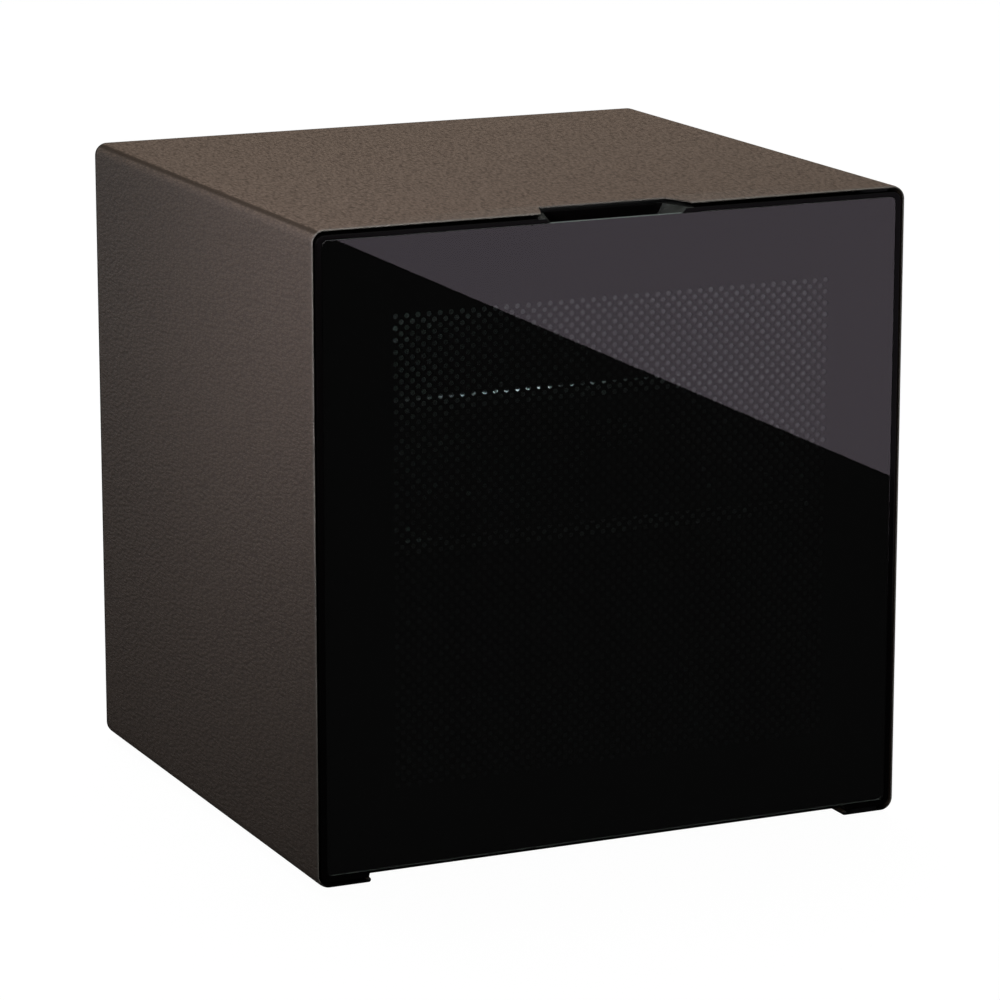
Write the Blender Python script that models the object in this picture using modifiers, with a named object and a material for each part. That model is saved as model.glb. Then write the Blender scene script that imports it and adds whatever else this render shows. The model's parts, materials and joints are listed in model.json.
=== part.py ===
"""Countertop refrigerator with an inset glass door, metres, +Z up, front towards -Y.

The origin is at floor level under the middle of the cabinet. The door turns about a
vertical axis near its right edge, the thermostat knob about an axis along Y.
"""
import math

import bmesh
import bpy
from mathutils import Matrix, Vector

# Driving dimensions of the cabinet
WIDTH = 0.550              # outer sleeve, side to side
DEPTH = 0.519              # outer sleeve, front to rear
SLEEVE_HEIGHT = 0.558      # outer sleeve, without the rubber feet
FOOT_DROP = 0.004          # how far the rubber feet reach below the sleeve
CORNER_R = 0.0115          # outer radius of the sleeve's four long edges
SHEET = 0.0012             # sleeve, tray and panel steel
SEAT = 0.0003              # gap between pieces that touch
EDGE_RISE = 0.008          # how far the bottom edge is raised between the corner feet
CORNER_FOOT = 0.048        # width of each corner foot, from the side wall inwards
RISE_RUN = 0.006           # width of the S-curve up to the raised edge
LANDING = 0.008            # flat lip of the sleeve that carries the base tray
TOE = 0.0495               # tip of the sheet's rolled toe under the door, from the side wall
TOE_R = 0.0021             # radius of that rolled toe

# Rubber feet
FOOT_R = 0.013
FOOT_STUD_R = 0.004
FOOT_STUD = 0.0055         # height of the stud that is pushed into the sleeve
FOOT_INSET = 0.024         # foot centre, inwards from the side wall
FOOT_FRONT = 0.095         # foot centre behind the front
FOOT_REAR = 0.045          # foot centre ahead of the rear

# Base tray and mains inlet
TRAY_INSET = 0.004         # tray edge, inside the sleeve's inner face
TAB_WIDTH = 0.056
TAB_HEIGHT = 0.062
TAB_SIDE = 0.053           # inlet tab's centre, inwards from the side wall
TAB_INSET = 0.012          # inlet tab, ahead of the sleeve's rear edge
INLET_RISE = 0.034         # inlet's centre above the tray's underside
INLET_HALF = (0.0138, 0.0112)
INLET_DEPTH = 0.022
INLET_WALL = 0.0016
BLADE_HALF = (0.001, 0.002)
BLADE_X = 0.007            # outer blades, from the middle one
BLADE_Z = 0.002            # outer blades below, middle one above the centre

# Storage compartment and insulation
WALL = 0.045               # side and top insulation with its skins
LINER = 0.002              # thickness of the moulded liner
LINER_R = 0.012            # radius of the liner's long inner corners
FLOOR_WALL = 0.043         # insulation between base tray and compartment floor
REAR_WALL = 0.045          # insulation behind the compartment
CONDENSER_SPACE = 0.045    # open space between back panel and the sleeve's rear edge
BAY_HEIGHT = 0.150         # machine bay, above the base tray
BAY_DEPTH = 0.165          # machine bay, from the sleeve's rear edge
STEP_WALL = 0.035          # insulation between machine bay and compartment
FRAME_SHEET = 0.0015       # painted steel frame that the gasket closes on
FLANGE = 0.014             # width of the liner's front flange

# Door
DOOR_DEPTH = 0.034         # door body, front to rear
SEAL_SPACE = 0.008         # space between door body and front frame
SIDE_GAP = 0.0024          # gap between door and sleeve at the sides
HINGE_SPACE = 0.0035       # gap above the door, which holds the upper hinge plate
DOOR_R = 0.008             # door's corner radius
RIM_ROUND = 0.0012         # rounding of the door's front edge
DOOR_FOOT = 0.0473         # door's corner feet, from the side wall inwards
DOOR_RISE = 0.0010         # width of the step up from them to the raised edge
RIM = 0.0092               # from the sleeve's outside to the edge of the glass
GLASS_BOTTOM = 0.0103      # from the sleeve's underside to the edge of the glass
GLASS = 0.004              # thickness of each pane
GLASS_R = 0.005            # corner radius of the outer pane
FILM = 0.0004              # dark printed layer behind the outer pane
OPENING_EDGE = 0.0012      # frame between its opening and the gasket
PANE_SPACE = 0.012         # depth of the spacer bar between the panes
SPACER = 0.009             # width of the spacer bar
RETAINER = 0.0115          # width of the inner frame behind the inner pane
WINDOW = 0.402             # clear window in the printed layer, both ways
WINDOW_LOW = 0.080         # its lower edge above the sleeve's underside

# Gasket
GASKET_OFFSET = 0.013      # gasket's centreline, outside the compartment's edge
GASKET_WIDTH = 0.011
ANCHOR_WIDTH = 0.0024
ANCHOR_DEPTH = 0.004

# Grip
GRIP_FRONT = 0.140         # width of the grip notch at the front edge
GRIP_BACK = 0.118          # its width at the rear
GRIP_DEPTH = 0.0286        # how far it reaches back into the sleeve's top
GRIP_POCKET = 0.023        # depth of the finger pocket below the sleeve's top
GRIP_LIP = 0.001           # wall of the frame behind the pane, in the grip

# Hinges
PIVOT_SIDE = 0.020         # pivot axis, from the door's side edge
PIVOT_BACK = 0.0095        # pivot axis, behind the door's front face
PIN_R = 0.002
RUNNING = 0.0003           # radial clearance of the turning fits
BUSH_R = 0.0034
BUSH_LENGTH = 0.009
PLATE = 0.0024             # thickness of both hinge plates
PLATE_REACH = 0.030        # how far a hinge plate runs back behind the front frame
PLATE_WIDTH = 0.030        # room for a hinge plate beside the sleeve's round corner
PLATE_NOSE = 0.007         # how far a plate reaches ahead of the pivot
DOOR_CLEAR = 0.0008        # height between a hinge plate and the door

# Shelves
SHELF_TOPS = (0.270, 0.392)
SHELF_GLASS = 0.004
RIB_DEPTH = 0.007          # how far the liner's shelf ribs stand in
RIB_HEIGHT = 0.010
RIB_SLOT = 0.0053          # slot between lower and upper rib
SHELF_SIDE_GAP = 0.001
SHELF_SETBACK = 0.030      # front edge of the shelf glass behind the front frame
SHELF_REAR_GAP = 0.031     # space for air between shelf glass and the rear wall
TRIM_DEPTH = 0.010
TRIM_WALL = 0.0018

# Control box with thermostat and lamp
BOX_WIDTH = 0.180
BOX_DEPTH = 0.065
BOX_HEIGHT = 0.032
BOX_SETBACK = 0.066
BOX_WALL = 0.002
KNOB_X = 0.055
KNOB_DROP = 0.017
KNOB_R = 0.015
KNOB_LENGTH = 0.014
SHAFT_R = 0.003
LENS_X = -0.030
LENS_LENGTH = 0.096
LENS_WIDTH = 0.026

# Evaporator
EVAPORATOR_SIDE = 0.055    # from the compartment's side walls to the plate
EVAPORATOR_RISE = 0.0253   # from the step over the machine bay up to the plate
EVAPORATOR_DROP = 0.022    # from the compartment's ceiling down to the plate
EVAPORATOR_SHEET = 0.0015
EVAPORATOR_STAND = 0.008   # stand-off from the liner's rear wall
CHANNEL_R = 0.0032
CHANNEL_RUNS = 6
CHANNEL_MARGIN = 0.030     # first and last channel run, from the plate's edges
STUD_R = 0.004
STUD_INSET = 0.0108        # stud centre, from the plate's side edge
GUTTER_DEPTH = 0.024
GUTTER_HEIGHT = 0.015
GUTTER_WALL = 0.0015

# Refrigeration machine
COMPRESSOR_X = -0.090
COMPRESSOR_REAR = 0.0845   # compressor's centre, ahead of the sleeve's rear edge
COMPRESSOR_R = 0.055
COMPRESSOR_HEIGHT = 0.098
# Shell's upper and lower curve: distance from its axis and from its end, as shares of its radius
DOME = ((0.35, 0.0), (0.62, 0.073), (0.82, 0.20), (0.95, 0.436), (1.0, 0.655))
BOWL = ((1.0, 0.327), (0.95, 0.127), (0.82, 0.0))
SUCTION_STUB = 0.020       # pipe stubs above the shell's bottom
DISCHARGE_STUB = 0.042
SEAM = 0.054               # weld seam above the shell's bottom
BEAD = 0.0025              # the seam's overhang, and half its height
STUB_REACH = 0.016         # how far the closed filling stub stands off the shell
RELAY_HALF = 0.026
RELAY_DEPTH = 0.020
RELAY_SPAN = (0.022, 0.068)
PAN_HALF = (0.064, 0.049)
PAN_HEIGHT = 0.018
PAN_WALL = 0.0015
MOUNT_HALF = (0.082, 0.047)
MOUNT_SHEET = 0.0025
GROMMET_R = 0.011
GROMMET_HEIGHT = 0.012
GROMMET_FOOT = 0.0066      # height of a grommet below the mounting plate
GROMMET_WAIST = 0.0066     # its radius where it passes through the plate
GROMMET_LIP = (0.0015, 0.002)
PIPE_R = 0.0025
SUCTION_R = 0.004
CAPILLARY_R = 0.0012
DRIER_R = 0.008
DRIER_LOW = 0.088
DRIER_HIGH = 0.152
LEAD_R = 0.003
SUCTION_SIDE = 0.025       # both pipes, inwards from the cold plate's side edge
CAPILLARY_SIDE = 0.045
PIPE_RISE = 0.012          # both pipes, above the cold plate's lower edge
LINE_OFF = 0.0115          # pipes between back panel and condenser, off the panel
CONDENSER_SIDE = 0.060     # condenser plate, inwards from the sleeve's side
CONDENSER_RISE = 0.0253    # above the machine bay
CONDENSER_DROP = 0.020     # below the sleeve's top
CONDENSER_OFF = 0.0215     # stand-off of the condenser plate from the back panel
COIL_SIDE = 0.020          # coil's turns, first and last run, inwards from the plate's edges
COIL_DROP = 0.020
COIL_RISE = 0.028
COIL_RUNS = 9
SLOT_COLUMNS = 10          # slots in a row of the condenser plate
SLOT_HALF = 0.012
SLOT_BAR = 0.016           # steel left between two rows, which carries a coil run
DRAIN_X = -0.060
DRAIN_R = 0.006
DRAIN_DIP = 0.0075         # end of the drain tube, below the pan's rim

# Places worked out from the driving dimensions
HALF = WIDTH / 2
FRONT = -DEPTH / 2
REAR = DEPTH / 2
LOW = FOOT_DROP
TOP = LOW + SLEEVE_HEIGHT
TRAY_LOW = LOW + EDGE_RISE + SHEET + SEAT
TRAY_TOP = TRAY_LOW + SHEET
CARCASS_LOW = TRAY_TOP + SEAT
CARCASS_HALF = HALF - SHEET - SEAT
CARCASS_TOP = TOP - SHEET - SEAT
ROOM_HALF = HALF - WALL
ROOM_LOW = CARCASS_LOW + FLOOR_WALL
ROOM_TOP = TOP - WALL
FRAME_Y = FRONT + DOOR_DEPTH + SEAL_SPACE
FLANGE_Y = FRAME_Y + FRAME_SHEET + SEAT
FOAM_Y = FLANGE_Y + LINER + SEAT
PANEL_Y = REAR - CONDENSER_SPACE
ROOM_REAR = PANEL_Y - REAR_WALL
BAY_Y = REAR - BAY_DEPTH
BAY_TOP = TRAY_TOP + BAY_HEIGHT
STEP_Y = BAY_Y - STEP_WALL
STEP_TOP = BAY_TOP + STEP_WALL
DOOR_HALF = HALF - SHEET - SIDE_GAP
DOOR_TOP = TOP - SHEET - HINGE_SPACE
LOWER_PLATE_Z = LOW + SHEET + SEAT
HINGE_FOOT_Z = LOWER_PLATE_Z + PLATE + DOOR_CLEAR
UPPER_PLATE_Z = DOOR_TOP + DOOR_CLEAR - SEAT
GLASS_HALF = HALF - RIM
GLASS_TOP = TOP - RIM
GLASS_LOW = LOW + GLASS_BOTTOM
OPENING_OUT = GASKET_OFFSET - GASKET_WIDTH / 2 - OPENING_EDGE
OPENING_HALF = ROOM_HALF + OPENING_OUT
OPENING_LOW = ROOM_LOW - OPENING_OUT
OPENING_TOP = ROOM_TOP + OPENING_OUT
FILM_Y = FRONT + GLASS + SEAT
LEDGE_Y = FILM_Y + FILM + SEAT
INNER_PANE_Y = LEDGE_Y + PANE_SPACE + SEAT
RETAINER_Y = INNER_PANE_Y + GLASS + SEAT
DOOR_BACK = FRONT + DOOR_DEPTH
WINDOW_Z = LOW + WINDOW_LOW
PIVOT = Vector((DOOR_HALF - PIVOT_SIDE, FRONT + PIVOT_BACK, 0))
PLATE_X = (HALF - CORNER_R - PLATE_WIDTH, HALF - CORNER_R - SEAT)
GROMMET_Z = TRAY_TOP + SEAT
MOUNT_Z = GROMMET_Z + GROMMET_FOOT
SHELL_Z = MOUNT_Z + MOUNT_SHEET + SEAT
SHELL_TOP = SHELL_Z + COMPRESSOR_HEIGHT
PAN_Z = SHELL_TOP + SEAT
DRAIN_END = PAN_Z + PAN_HEIGHT - DRAIN_DIP
SUCTION_Z = SHELL_Z + SUCTION_STUB
DISCHARGE_Z = SHELL_Z + DISCHARGE_STUB
COMPRESSOR = (COMPRESSOR_X, REAR - COMPRESSOR_REAR)
TAB_X = HALF - TAB_SIDE
EVAPORATOR_HALF = ROOM_HALF - EVAPORATOR_SIDE
EVAPORATOR_LOW = STEP_TOP + EVAPORATOR_RISE
EVAPORATOR_HIGH = ROOM_TOP - EVAPORATOR_DROP
CONDENSER_HALF = HALF - CONDENSER_SIDE
CONDENSER_LOW = BAY_TOP + CONDENSER_RISE
CONDENSER_HIGH = TOP - CONDENSER_DROP
COIL_HALF = CONDENSER_HALF - COIL_SIDE
COIL_TOP = CONDENSER_HIGH - COIL_DROP
COIL_PITCH = (COIL_TOP - CONDENSER_LOW - COIL_RISE) / (COIL_RUNS - 1)
PIPE_X = {"suction": EVAPORATOR_HALF - SUCTION_SIDE, "capillary": EVAPORATOR_HALF - CAPILLARY_SIDE}
PIPE_Z = EVAPORATOR_LOW + PIPE_RISE

COLLECTION = bpy.data.collections.new("countertop_refrigerator")
CUTTERS = bpy.data.collections.new("cutters")

# Finish: colour, roughness, metallic
FINISHES = {
    "brown textured coating": ((0.083, 0.064, 0.051), 0.62, 0.0),
    "galvanised steel": ((0.46, 0.47, 0.48), 0.42, 0.9),
    "black painted steel": ((0.012, 0.012, 0.013), 0.45, 0.0),
    "polyurethane foam": ((0.72, 0.58, 0.30), 0.9, 0.0),
    "dark liner plastic": ((0.020, 0.020, 0.022), 0.5, 0.0),
    "black gloss plastic": ((0.004, 0.004, 0.004), 0.12, 0.0),
    "black rubber": ((0.015, 0.015, 0.015), 0.8, 0.0),
    "dark glass": ((0.02, 0.02, 0.022), 0.03, 0.0),
    "black printed layer": ((0.003, 0.003, 0.003), 0.35, 0.0),
    "aluminium": ((0.60, 0.61, 0.62), 0.35, 1.0),
    "acetal bush plastic": ((0.65, 0.63, 0.58), 0.5, 0.0),
    "zinc plated steel": ((0.55, 0.56, 0.57), 0.3, 1.0),
    "copper pipe": ((0.62, 0.27, 0.15), 0.3, 1.0),
    "frosted lamp plastic": ((0.80, 0.82, 0.84), 0.35, 0.0),
    "green circuit board": ((0.02, 0.10, 0.05), 0.5, 0.0),
    "grey plastic": ((0.20, 0.21, 0.22), 0.5, 0.0),
}


def finish(obj, name):
    """Give the object a Principled material of its own."""
    colour, roughness, metallic = FINISHES[name]
    material = bpy.data.materials.new(f"{name} of {obj.name}")
    material.use_nodes = True
    shader = material.node_tree.nodes["Principled BSDF"]
    shader.inputs["Base Color"].default_value = (*colour, 1.0)
    shader.inputs["Roughness"].default_value = roughness
    shader.inputs["Metallic"].default_value = metallic
    material.diffuse_color = (*colour, 1.0)
    obj.data.materials.clear()
    obj.data.materials.append(material)
    return obj


def put(name, data, location=(0, 0, 0), cutter=False):
    """Link a new object to the parts, or to the cutters."""
    obj = bpy.data.objects.new(name, data)
    obj.location = location
    (CUTTERS if cutter else COLLECTION).objects.link(obj)
    if cutter:
        obj.hide_render = True
        obj.display_type = "WIRE"
    return obj


def mesh_of(bm, name):
    bmesh.ops.recalc_face_normals(bm, faces=bm.faces)
    mesh = bpy.data.meshes.new(name)
    bm.to_mesh(mesh)
    bm.free()
    return mesh


def smooth(obj, angle=math.radians(35)):
    obj.data.shade_smooth()
    obj.data.set_sharp_from_angle(angle=angle)
    return obj


def box(name, low, high, bevel=0.0, segments=2, cutter=False):
    """A block between two corners, with rounded edges where asked."""
    low, high = Vector(low), Vector(high)
    bm = bmesh.new()
    bmesh.ops.create_cube(bm, size=1.0, matrix=Matrix.Diagonal((*(high - low), 1.0)))
    obj = put(name, mesh_of(bm, name), (low + high) / 2, cutter)
    if bevel:
        rounding = obj.modifiers.new("rounded edges", "BEVEL")
        rounding.width = bevel
        rounding.segments = segments
    return obj


def wedge(name, low_z, high_z, low_corners, high_corners, cutter=False):
    """A cube primitive whose four lower and four upper corners are moved in plan."""
    bm = bmesh.new()
    bmesh.ops.create_cube(bm, size=2.0)
    for vert in bm.verts:
        corner = (0 if vert.co.y < 0 else 2) + (0 if vert.co.x < 0 else 1)
        plan = low_corners[corner] if vert.co.z < 0 else high_corners[corner]
        vert.co = (plan[0], plan[1], low_z if vert.co.z < 0 else high_z)
    return put(name, mesh_of(bm, name), cutter=cutter)


def cylinder(name, centre, radius, length, axis="Z", sides=24, cutter=False):
    bm = bmesh.new()
    bmesh.ops.create_cone(bm, cap_ends=True, segments=sides, radius1=radius, radius2=radius,
                          depth=length)
    bmesh.ops.rotate(bm, verts=bm.verts, matrix=TURN[axis])
    return smooth(put(name, mesh_of(bm, name), centre, cutter))


# Rotations that stand a piece drawn along Z, or in the XY plane, on another axis
TURN = {
    "Z": Matrix.Identity(3),
    "Y": Matrix(((1, 0, 0), (0, 0, -1), (0, 1, 0))),
    "X": Matrix(((0, 0, 1), (1, 0, 0), (0, 1, 0))),
}


def slab(name, outlines, axis, start, end, cutter=False):
    """A flat outline, with holes where there are more outlines, extruded along an axis.

    The outline's two numbers are X, Z for axis Y, then Y, Z for axis X and X, Y for axis Z.
    """
    curve = bpy.data.curves.new(name, "CURVE")
    curve.dimensions = "2D"
    curve.fill_mode = "BOTH"
    curve.extrude = abs(end - start) / 2
    for outline in outlines:
        spline = curve.splines.new("POLY")
        spline.points.add(len(outline) - 1)
        spline.use_cyclic_u = True
        for point, (u, v) in zip(spline.points, outline):
            point.co = (u, v, 0, 1)
    drawn = bpy.data.objects.new(name + " outline", curve)
    bpy.context.scene.collection.objects.link(drawn)
    bpy.context.view_layer.update()
    mesh = bpy.data.meshes.new_from_object(drawn.evaluated_get(bpy.context.evaluated_depsgraph_get()))
    bpy.data.objects.remove(drawn)
    bm = bmesh.new()
    bm.from_mesh(mesh)
    bmesh.ops.remove_doubles(bm, verts=bm.verts, dist=1e-6)
    bmesh.ops.rotate(bm, verts=bm.verts, matrix=TURN[axis])
    middle = (start + end) / 2
    return smooth(put(name, mesh_of(bm, name), [middle if a == axis else 0 for a in "XYZ"], cutter))


def loft(name, rings, cutter=False):
    """Join rings of equally many points, the first and last closed by a face."""
    bm = bmesh.new()
    rows = [[bm.verts.new(point) for point in ring] for ring in rings]
    count = len(rows[0])
    for near, far in zip(rows, rows[1:]):
        for i in range(count):
            j = (i + 1) % count
            bm.faces.new((near[i], near[j], far[j], far[i]))
    bm.faces.new(rows[0])
    bm.faces.new(rows[-1])
    return smooth(put(name, mesh_of(bm, name), cutter=cutter))


def lathe(name, profile, centre, axis="Z", steps=24, ring=False):
    """Turn a profile of (radius, height) points, listed down its outer side."""
    mesh = bpy.data.meshes.new(name)
    points = [(radius, 0, height) for radius, height in profile]
    edges = [(i, i + 1) for i in range(len(points) - 1)]
    if ring:
        edges.append((len(points) - 1, 0))
    mesh.from_pydata(points, edges, [])
    obj = put(name, mesh, centre)
    if axis == "Y":
        obj.rotation_euler = (math.radians(90), 0, 0)
    screw = obj.modifiers.new("turned", "SCREW")
    screw.steps = steps
    screw.render_steps = steps
    screw.use_merge_vertices = True
    screw.merge_threshold = 1e-5
    return obj


def tube(name, points, radius, resolution=2):
    """A round wire or pipe along a list of points."""
    curve = bpy.data.curves.new(name, "CURVE")
    curve.dimensions = "3D"
    curve.bevel_depth = radius
    curve.bevel_resolution = resolution
    curve.use_fill_caps = True
    spline = curve.splines.new("POLY")
    spline.points.add(len(points) - 1)
    for point, place in zip(spline.points, points):
        point.co = (*place, 1)
    return put(name, curve)


def tube_mesh(name, points, radius, resolution=2, cutter=False):
    """The same pipe as a closed mesh, which can be joined to another piece."""
    drawn = tube(name + " drawn", points, radius, resolution)
    bpy.context.view_layer.update()
    mesh = bpy.data.meshes.new_from_object(drawn.evaluated_get(bpy.context.evaluated_depsgraph_get()))
    bpy.data.objects.remove(drawn)
    bm = bmesh.new()
    bm.from_mesh(mesh)
    bmesh.ops.remove_doubles(bm, verts=bm.verts, dist=1e-6)
    return smooth(put(name, mesh_of(bm, name), cutter=cutter))


def bent(corners, radius, steps=4):
    """A pipe route: straight runs with an arc of the given radius at each corner."""
    corners = [Vector(corner) for corner in corners]
    route = [corners[0]]
    for before, corner, after in zip(corners, corners[1:], corners[2:]):
        back, ahead = (before - corner).normalized(), (after - corner).normalized()
        half_angle = back.angle(ahead) / 2
        reach = radius / math.tan(half_angle)
        centre = corner + (back + ahead).normalized() * (radius / math.sin(half_angle))
        start, end = corner + back * reach - centre, corner + ahead * reach - centre
        sweep = start.angle(end)
        for k in range(steps + 1):
            part = k / steps
            turned = (start * math.sin((1 - part) * sweep) + end * math.sin(part * sweep))
            route.append(centre + turned / math.sin(sweep))
    route.append(corners[-1])
    return route


def change(obj, operation, *others):
    """Cut other solids out of an object, or join them to it."""
    for other in others:
        step = obj.modifiers.new(f"{operation.lower()} {other.name}", "BOOLEAN")
        step.operation = operation
        step.object = other
    return obj


def cut(obj, *cutters):
    return change(obj, "DIFFERENCE", *cutters)


def join(obj, *others):
    return change(obj, "UNION", *others)


def arc(u, v, radius, start, end, steps=6):
    """Points on an arc about (u, v), angles in degrees."""
    angles = (math.radians(start + (end - start) * k / steps) for k in range(steps + 1))
    return [(u + radius * math.cos(angle), v + radius * math.sin(angle)) for angle in angles]


def rounded_rect(half, low, high, radius, steps=5):
    """A rectangle with round corners, centred on X, going round against the clock."""
    return (arc(half - radius, low + radius, radius, -90, 0, steps)
            + arc(half - radius, high - radius, radius, 0, 90, steps)
            + arc(radius - half, high - radius, radius, 90, 180, steps)
            + arc(radius - half, low + radius, radius, 180, 270, steps))


def rise(start_x, start_z, end_x, end_z, steps=4):
    """Inner points of an S-curve between two levels, a half wave of a cosine."""
    parts = [k / steps for k in range(1, steps)]
    return [(start_x + (end_x - start_x) * p,
             start_z + (end_z - start_z) * (1 - math.cos(math.pi * p)) / 2) for p in parts]


def carcass_outline():
    """Front view of what fills the sleeve: round above, square on the base tray."""
    radius = CORNER_R - SHEET - SEAT
    return ([(CARCASS_HALF, CARCASS_LOW)]
            + arc(CARCASS_HALF - radius, CARCASS_TOP - radius, radius, 0, 90)
            + arc(radius - CARCASS_HALF, CARCASS_TOP - radius, radius, 90, 180)
            + [(-CARCASS_HALF, CARCASS_LOW)])


def door_outline(inset=0.0):
    """Front view of the door: a corner foot at each end of the raised bottom edge.

    The feet end above the lower hinge plate and the sleeve's rolled toes.
    """
    half, high, radius = DOOR_HALF - inset, DOOR_TOP - inset, DOOR_R - inset
    low, raised = HINGE_FOOT_Z + inset, LOW + EDGE_RISE + inset
    foot = HALF - DOOR_FOOT + inset
    step = foot - DOOR_RISE
    return (arc(half - radius, low + radius, radius, -90, 0)
            + arc(half - radius, high - radius, radius, 0, 90)
            + arc(radius - half, high - radius, radius, 90, 180)
            + arc(radius - half, low + radius, radius, 180, 270)
            + [(-foot, low)] + rise(-foot, low, -step, raised) + [(-step, raised)]
            + [(step, raised)] + rise(step, raised, foot, low) + [(foot, low)])


def sleeve_profile():
    """Outer line of the sleeve from the middle of its left underside round to the right."""
    foot, landing = HALF - CORNER_FOOT, HALF - CORNER_FOOT - RISE_RUN - LANDING
    raised, straight = LOW + EDGE_RISE, HALF - CORNER_R
    right = ([(landing, raised), (landing + LANDING, raised)]
             + rise(landing + LANDING, raised, foot, LOW) + [(foot, LOW)]
             + arc(straight, LOW + CORNER_R, CORNER_R, -90, 0, 8)
             + arc(straight, TOP - CORNER_R, CORNER_R, 0, 90, 8))
    return right + [(-x, z) for x, z in reversed(right)]


def at(outline, y):
    return [Vector((x, y, z)) for x, z in outline]


def ring(name, half, low, high, radius, section, cutter=False):
    """Carry a closed section round a rectangle with round corners.

    The section's points are (outward offset, y).
    """
    bm = bmesh.new()
    rows = [[bm.verts.new(p) for p in at(rounded_rect(half + out, low - out, high + out, radius + out), y)]
            for out, y in section]
    count = len(rows[0])
    for k, near in enumerate(rows):
        far = rows[(k + 1) % len(rows)]
        for i in range(count):
            j = (i + 1) % count
            bm.faces.new((near[i], near[j], far[j], far[i]))
    return smooth(put(name, mesh_of(bm, name), cutter=cutter))


def make_sleeve():
    """Folded steel sleeve: one bent sheet, with the grip cut into its top front edge."""
    bm = bmesh.new()
    line = [bm.verts.new((x, FRONT, z)) for x, z in sleeve_profile()]
    edges = [bm.edges.new(pair) for pair in zip(line, line[1:])]
    drawn = bmesh.ops.extrude_edge_only(bm, edges=edges)
    moved = [item for item in drawn["geom"] if isinstance(item, bmesh.types.BMVert)]
    bmesh.ops.translate(bm, verts=moved, vec=(0, DEPTH, 0))
    top = max(bm.faces, key=lambda face: face.calc_center_median().z)
    if top.normal.z < 0:
        bmesh.ops.reverse_faces(bm, faces=bm.faces)
    mesh = bpy.data.meshes.new("outer_sleeve")
    bm.normal_update()
    bm.to_mesh(mesh)
    bm.free()
    sleeve = smooth(put("outer_sleeve", mesh))
    wall = sleeve.modifiers.new("sheet", "SOLIDIFY")
    wall.thickness = SHEET
    wall.offset = -1
    wall.use_even_offset = True
    front, back = GRIP_FRONT / 2, GRIP_BACK / 2
    grip = slab("grip cut", [[(-front, FRONT - SHEET), (front, FRONT - SHEET), (front, FRONT),
                              (back, FRONT + GRIP_DEPTH), (-back, FRONT + GRIP_DEPTH), (-front, FRONT)]],
                "Z", TOP - 2 * SHEET, TOP + SHEET, cutter=True)
    toe = HALF - TOE + TOE_R
    door_way = box("room under the door", (-toe, FRONT - SHEET, -LOW), (toe, FRAME_Y, LOW + DOOR_R + SHEET),
                   cutter=True)
    pin_head = cylinder("pin head hole", (PIVOT.x, PIVOT.y, LOW), 2 * PIN_R + SEAT, 4 * SHEET, sides=16,
                        cutter=True)
    cut(sleeve, grip, door_way, pin_head)
    for side in (-1, 1):
        roll = cylinder(f"rolled toe {side}", (side * toe, (FRONT + FRAME_Y + SHEET) / 2, LOW + TOE_R + SEAT / 3),
                        TOE_R, FRAME_Y + SHEET - FRONT - SEAT, axis="Y", sides=16, cutter=True)
        join(sleeve, roll)
    for _, x, y in foot_places():
        cut(sleeve, cylinder(f"stud hole {x:.2f} {y:.2f}", (x, y, LOW), FOOT_STUD_R + SEAT,
                             4 * SHEET, sides=16, cutter=True))
    return finish(sleeve, "brown textured coating")


def foot_places():
    x = HALF - FOOT_INSET
    return [("foot_front_left", -x, FRONT + FOOT_FRONT), ("foot_front_right", x, FRONT + FOOT_FRONT),
            ("foot_rear_left", -x, REAR - FOOT_REAR), ("foot_rear_right", x, REAR - FOOT_REAR)]


def make_feet():
    for name, x, y in foot_places():
        profile = [(0, LOW + FOOT_STUD), (FOOT_STUD_R, LOW + FOOT_STUD), (FOOT_STUD_R, LOW - SEAT),
                   (FOOT_R, LOW - SEAT), (FOOT_R, FOOT_DROP / 2), (FOOT_R - FOOT_DROP / 3, 0), (0, 0)]
        finish(lathe(name, profile, (x, y, 0), steps=20), "black rubber")


def inlet_centre():
    return TAB_X, REAR - TAB_INSET, TRAY_LOW + INLET_RISE


def make_tray():
    """Steel tray under the carcass and machine bay, with a raised tab for the inlet."""
    half = HALF - SHEET - TRAY_INSET
    tray = box("base_tray", (-half, FRAME_Y + SEAT, TRAY_LOW), (half, REAR - TRAY_INSET, TRAY_TOP))
    tab = box("inlet tab", (TAB_X - TAB_WIDTH / 2, REAR - TAB_INSET - SHEET, TRAY_LOW + SHEET / 2),
              (TAB_X + TAB_WIDTH / 2, REAR - TAB_INSET, TRAY_LOW + TAB_HEIGHT), cutter=True)
    x, y, z = inlet_centre()
    hole = box("inlet hole", (x - INLET_HALF[0] - SEAT, y - 4 * SHEET, z - INLET_HALF[1] - SEAT),
               (x + INLET_HALF[0] + SEAT, y + SHEET, z + INLET_HALF[1] + SEAT), cutter=True)
    join(tray, tab)
    cut(tray, hole)
    return finish(tray, "galvanised steel")


def make_back_panel():
    """Back panel above, bent forward over the machine bay and down in front of it."""
    outline = [(x, max(z, BAY_TOP)) for x, z in carcass_outline()]
    panel = slab("back_panel", [outline], "Y", PANEL_Y - SHEET, PANEL_Y)
    bent_part = [(PANEL_Y - SHEET / 2, BAY_TOP), (PANEL_Y - SHEET / 2, BAY_TOP + SHEET),
                 (BAY_Y - SHEET, BAY_TOP + SHEET), (BAY_Y - SHEET, CARCASS_LOW),
                 (BAY_Y, CARCASS_LOW), (BAY_Y, BAY_TOP)]
    roof = slab("bay walls", [bent_part], "X", -CARCASS_HALF, CARCASS_HALF, cutter=True)
    join(panel, roof)
    cut(panel, *pipe_holes("panel"), drain_hole("panel"))
    return finish(panel, "galvanised steel")


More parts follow.
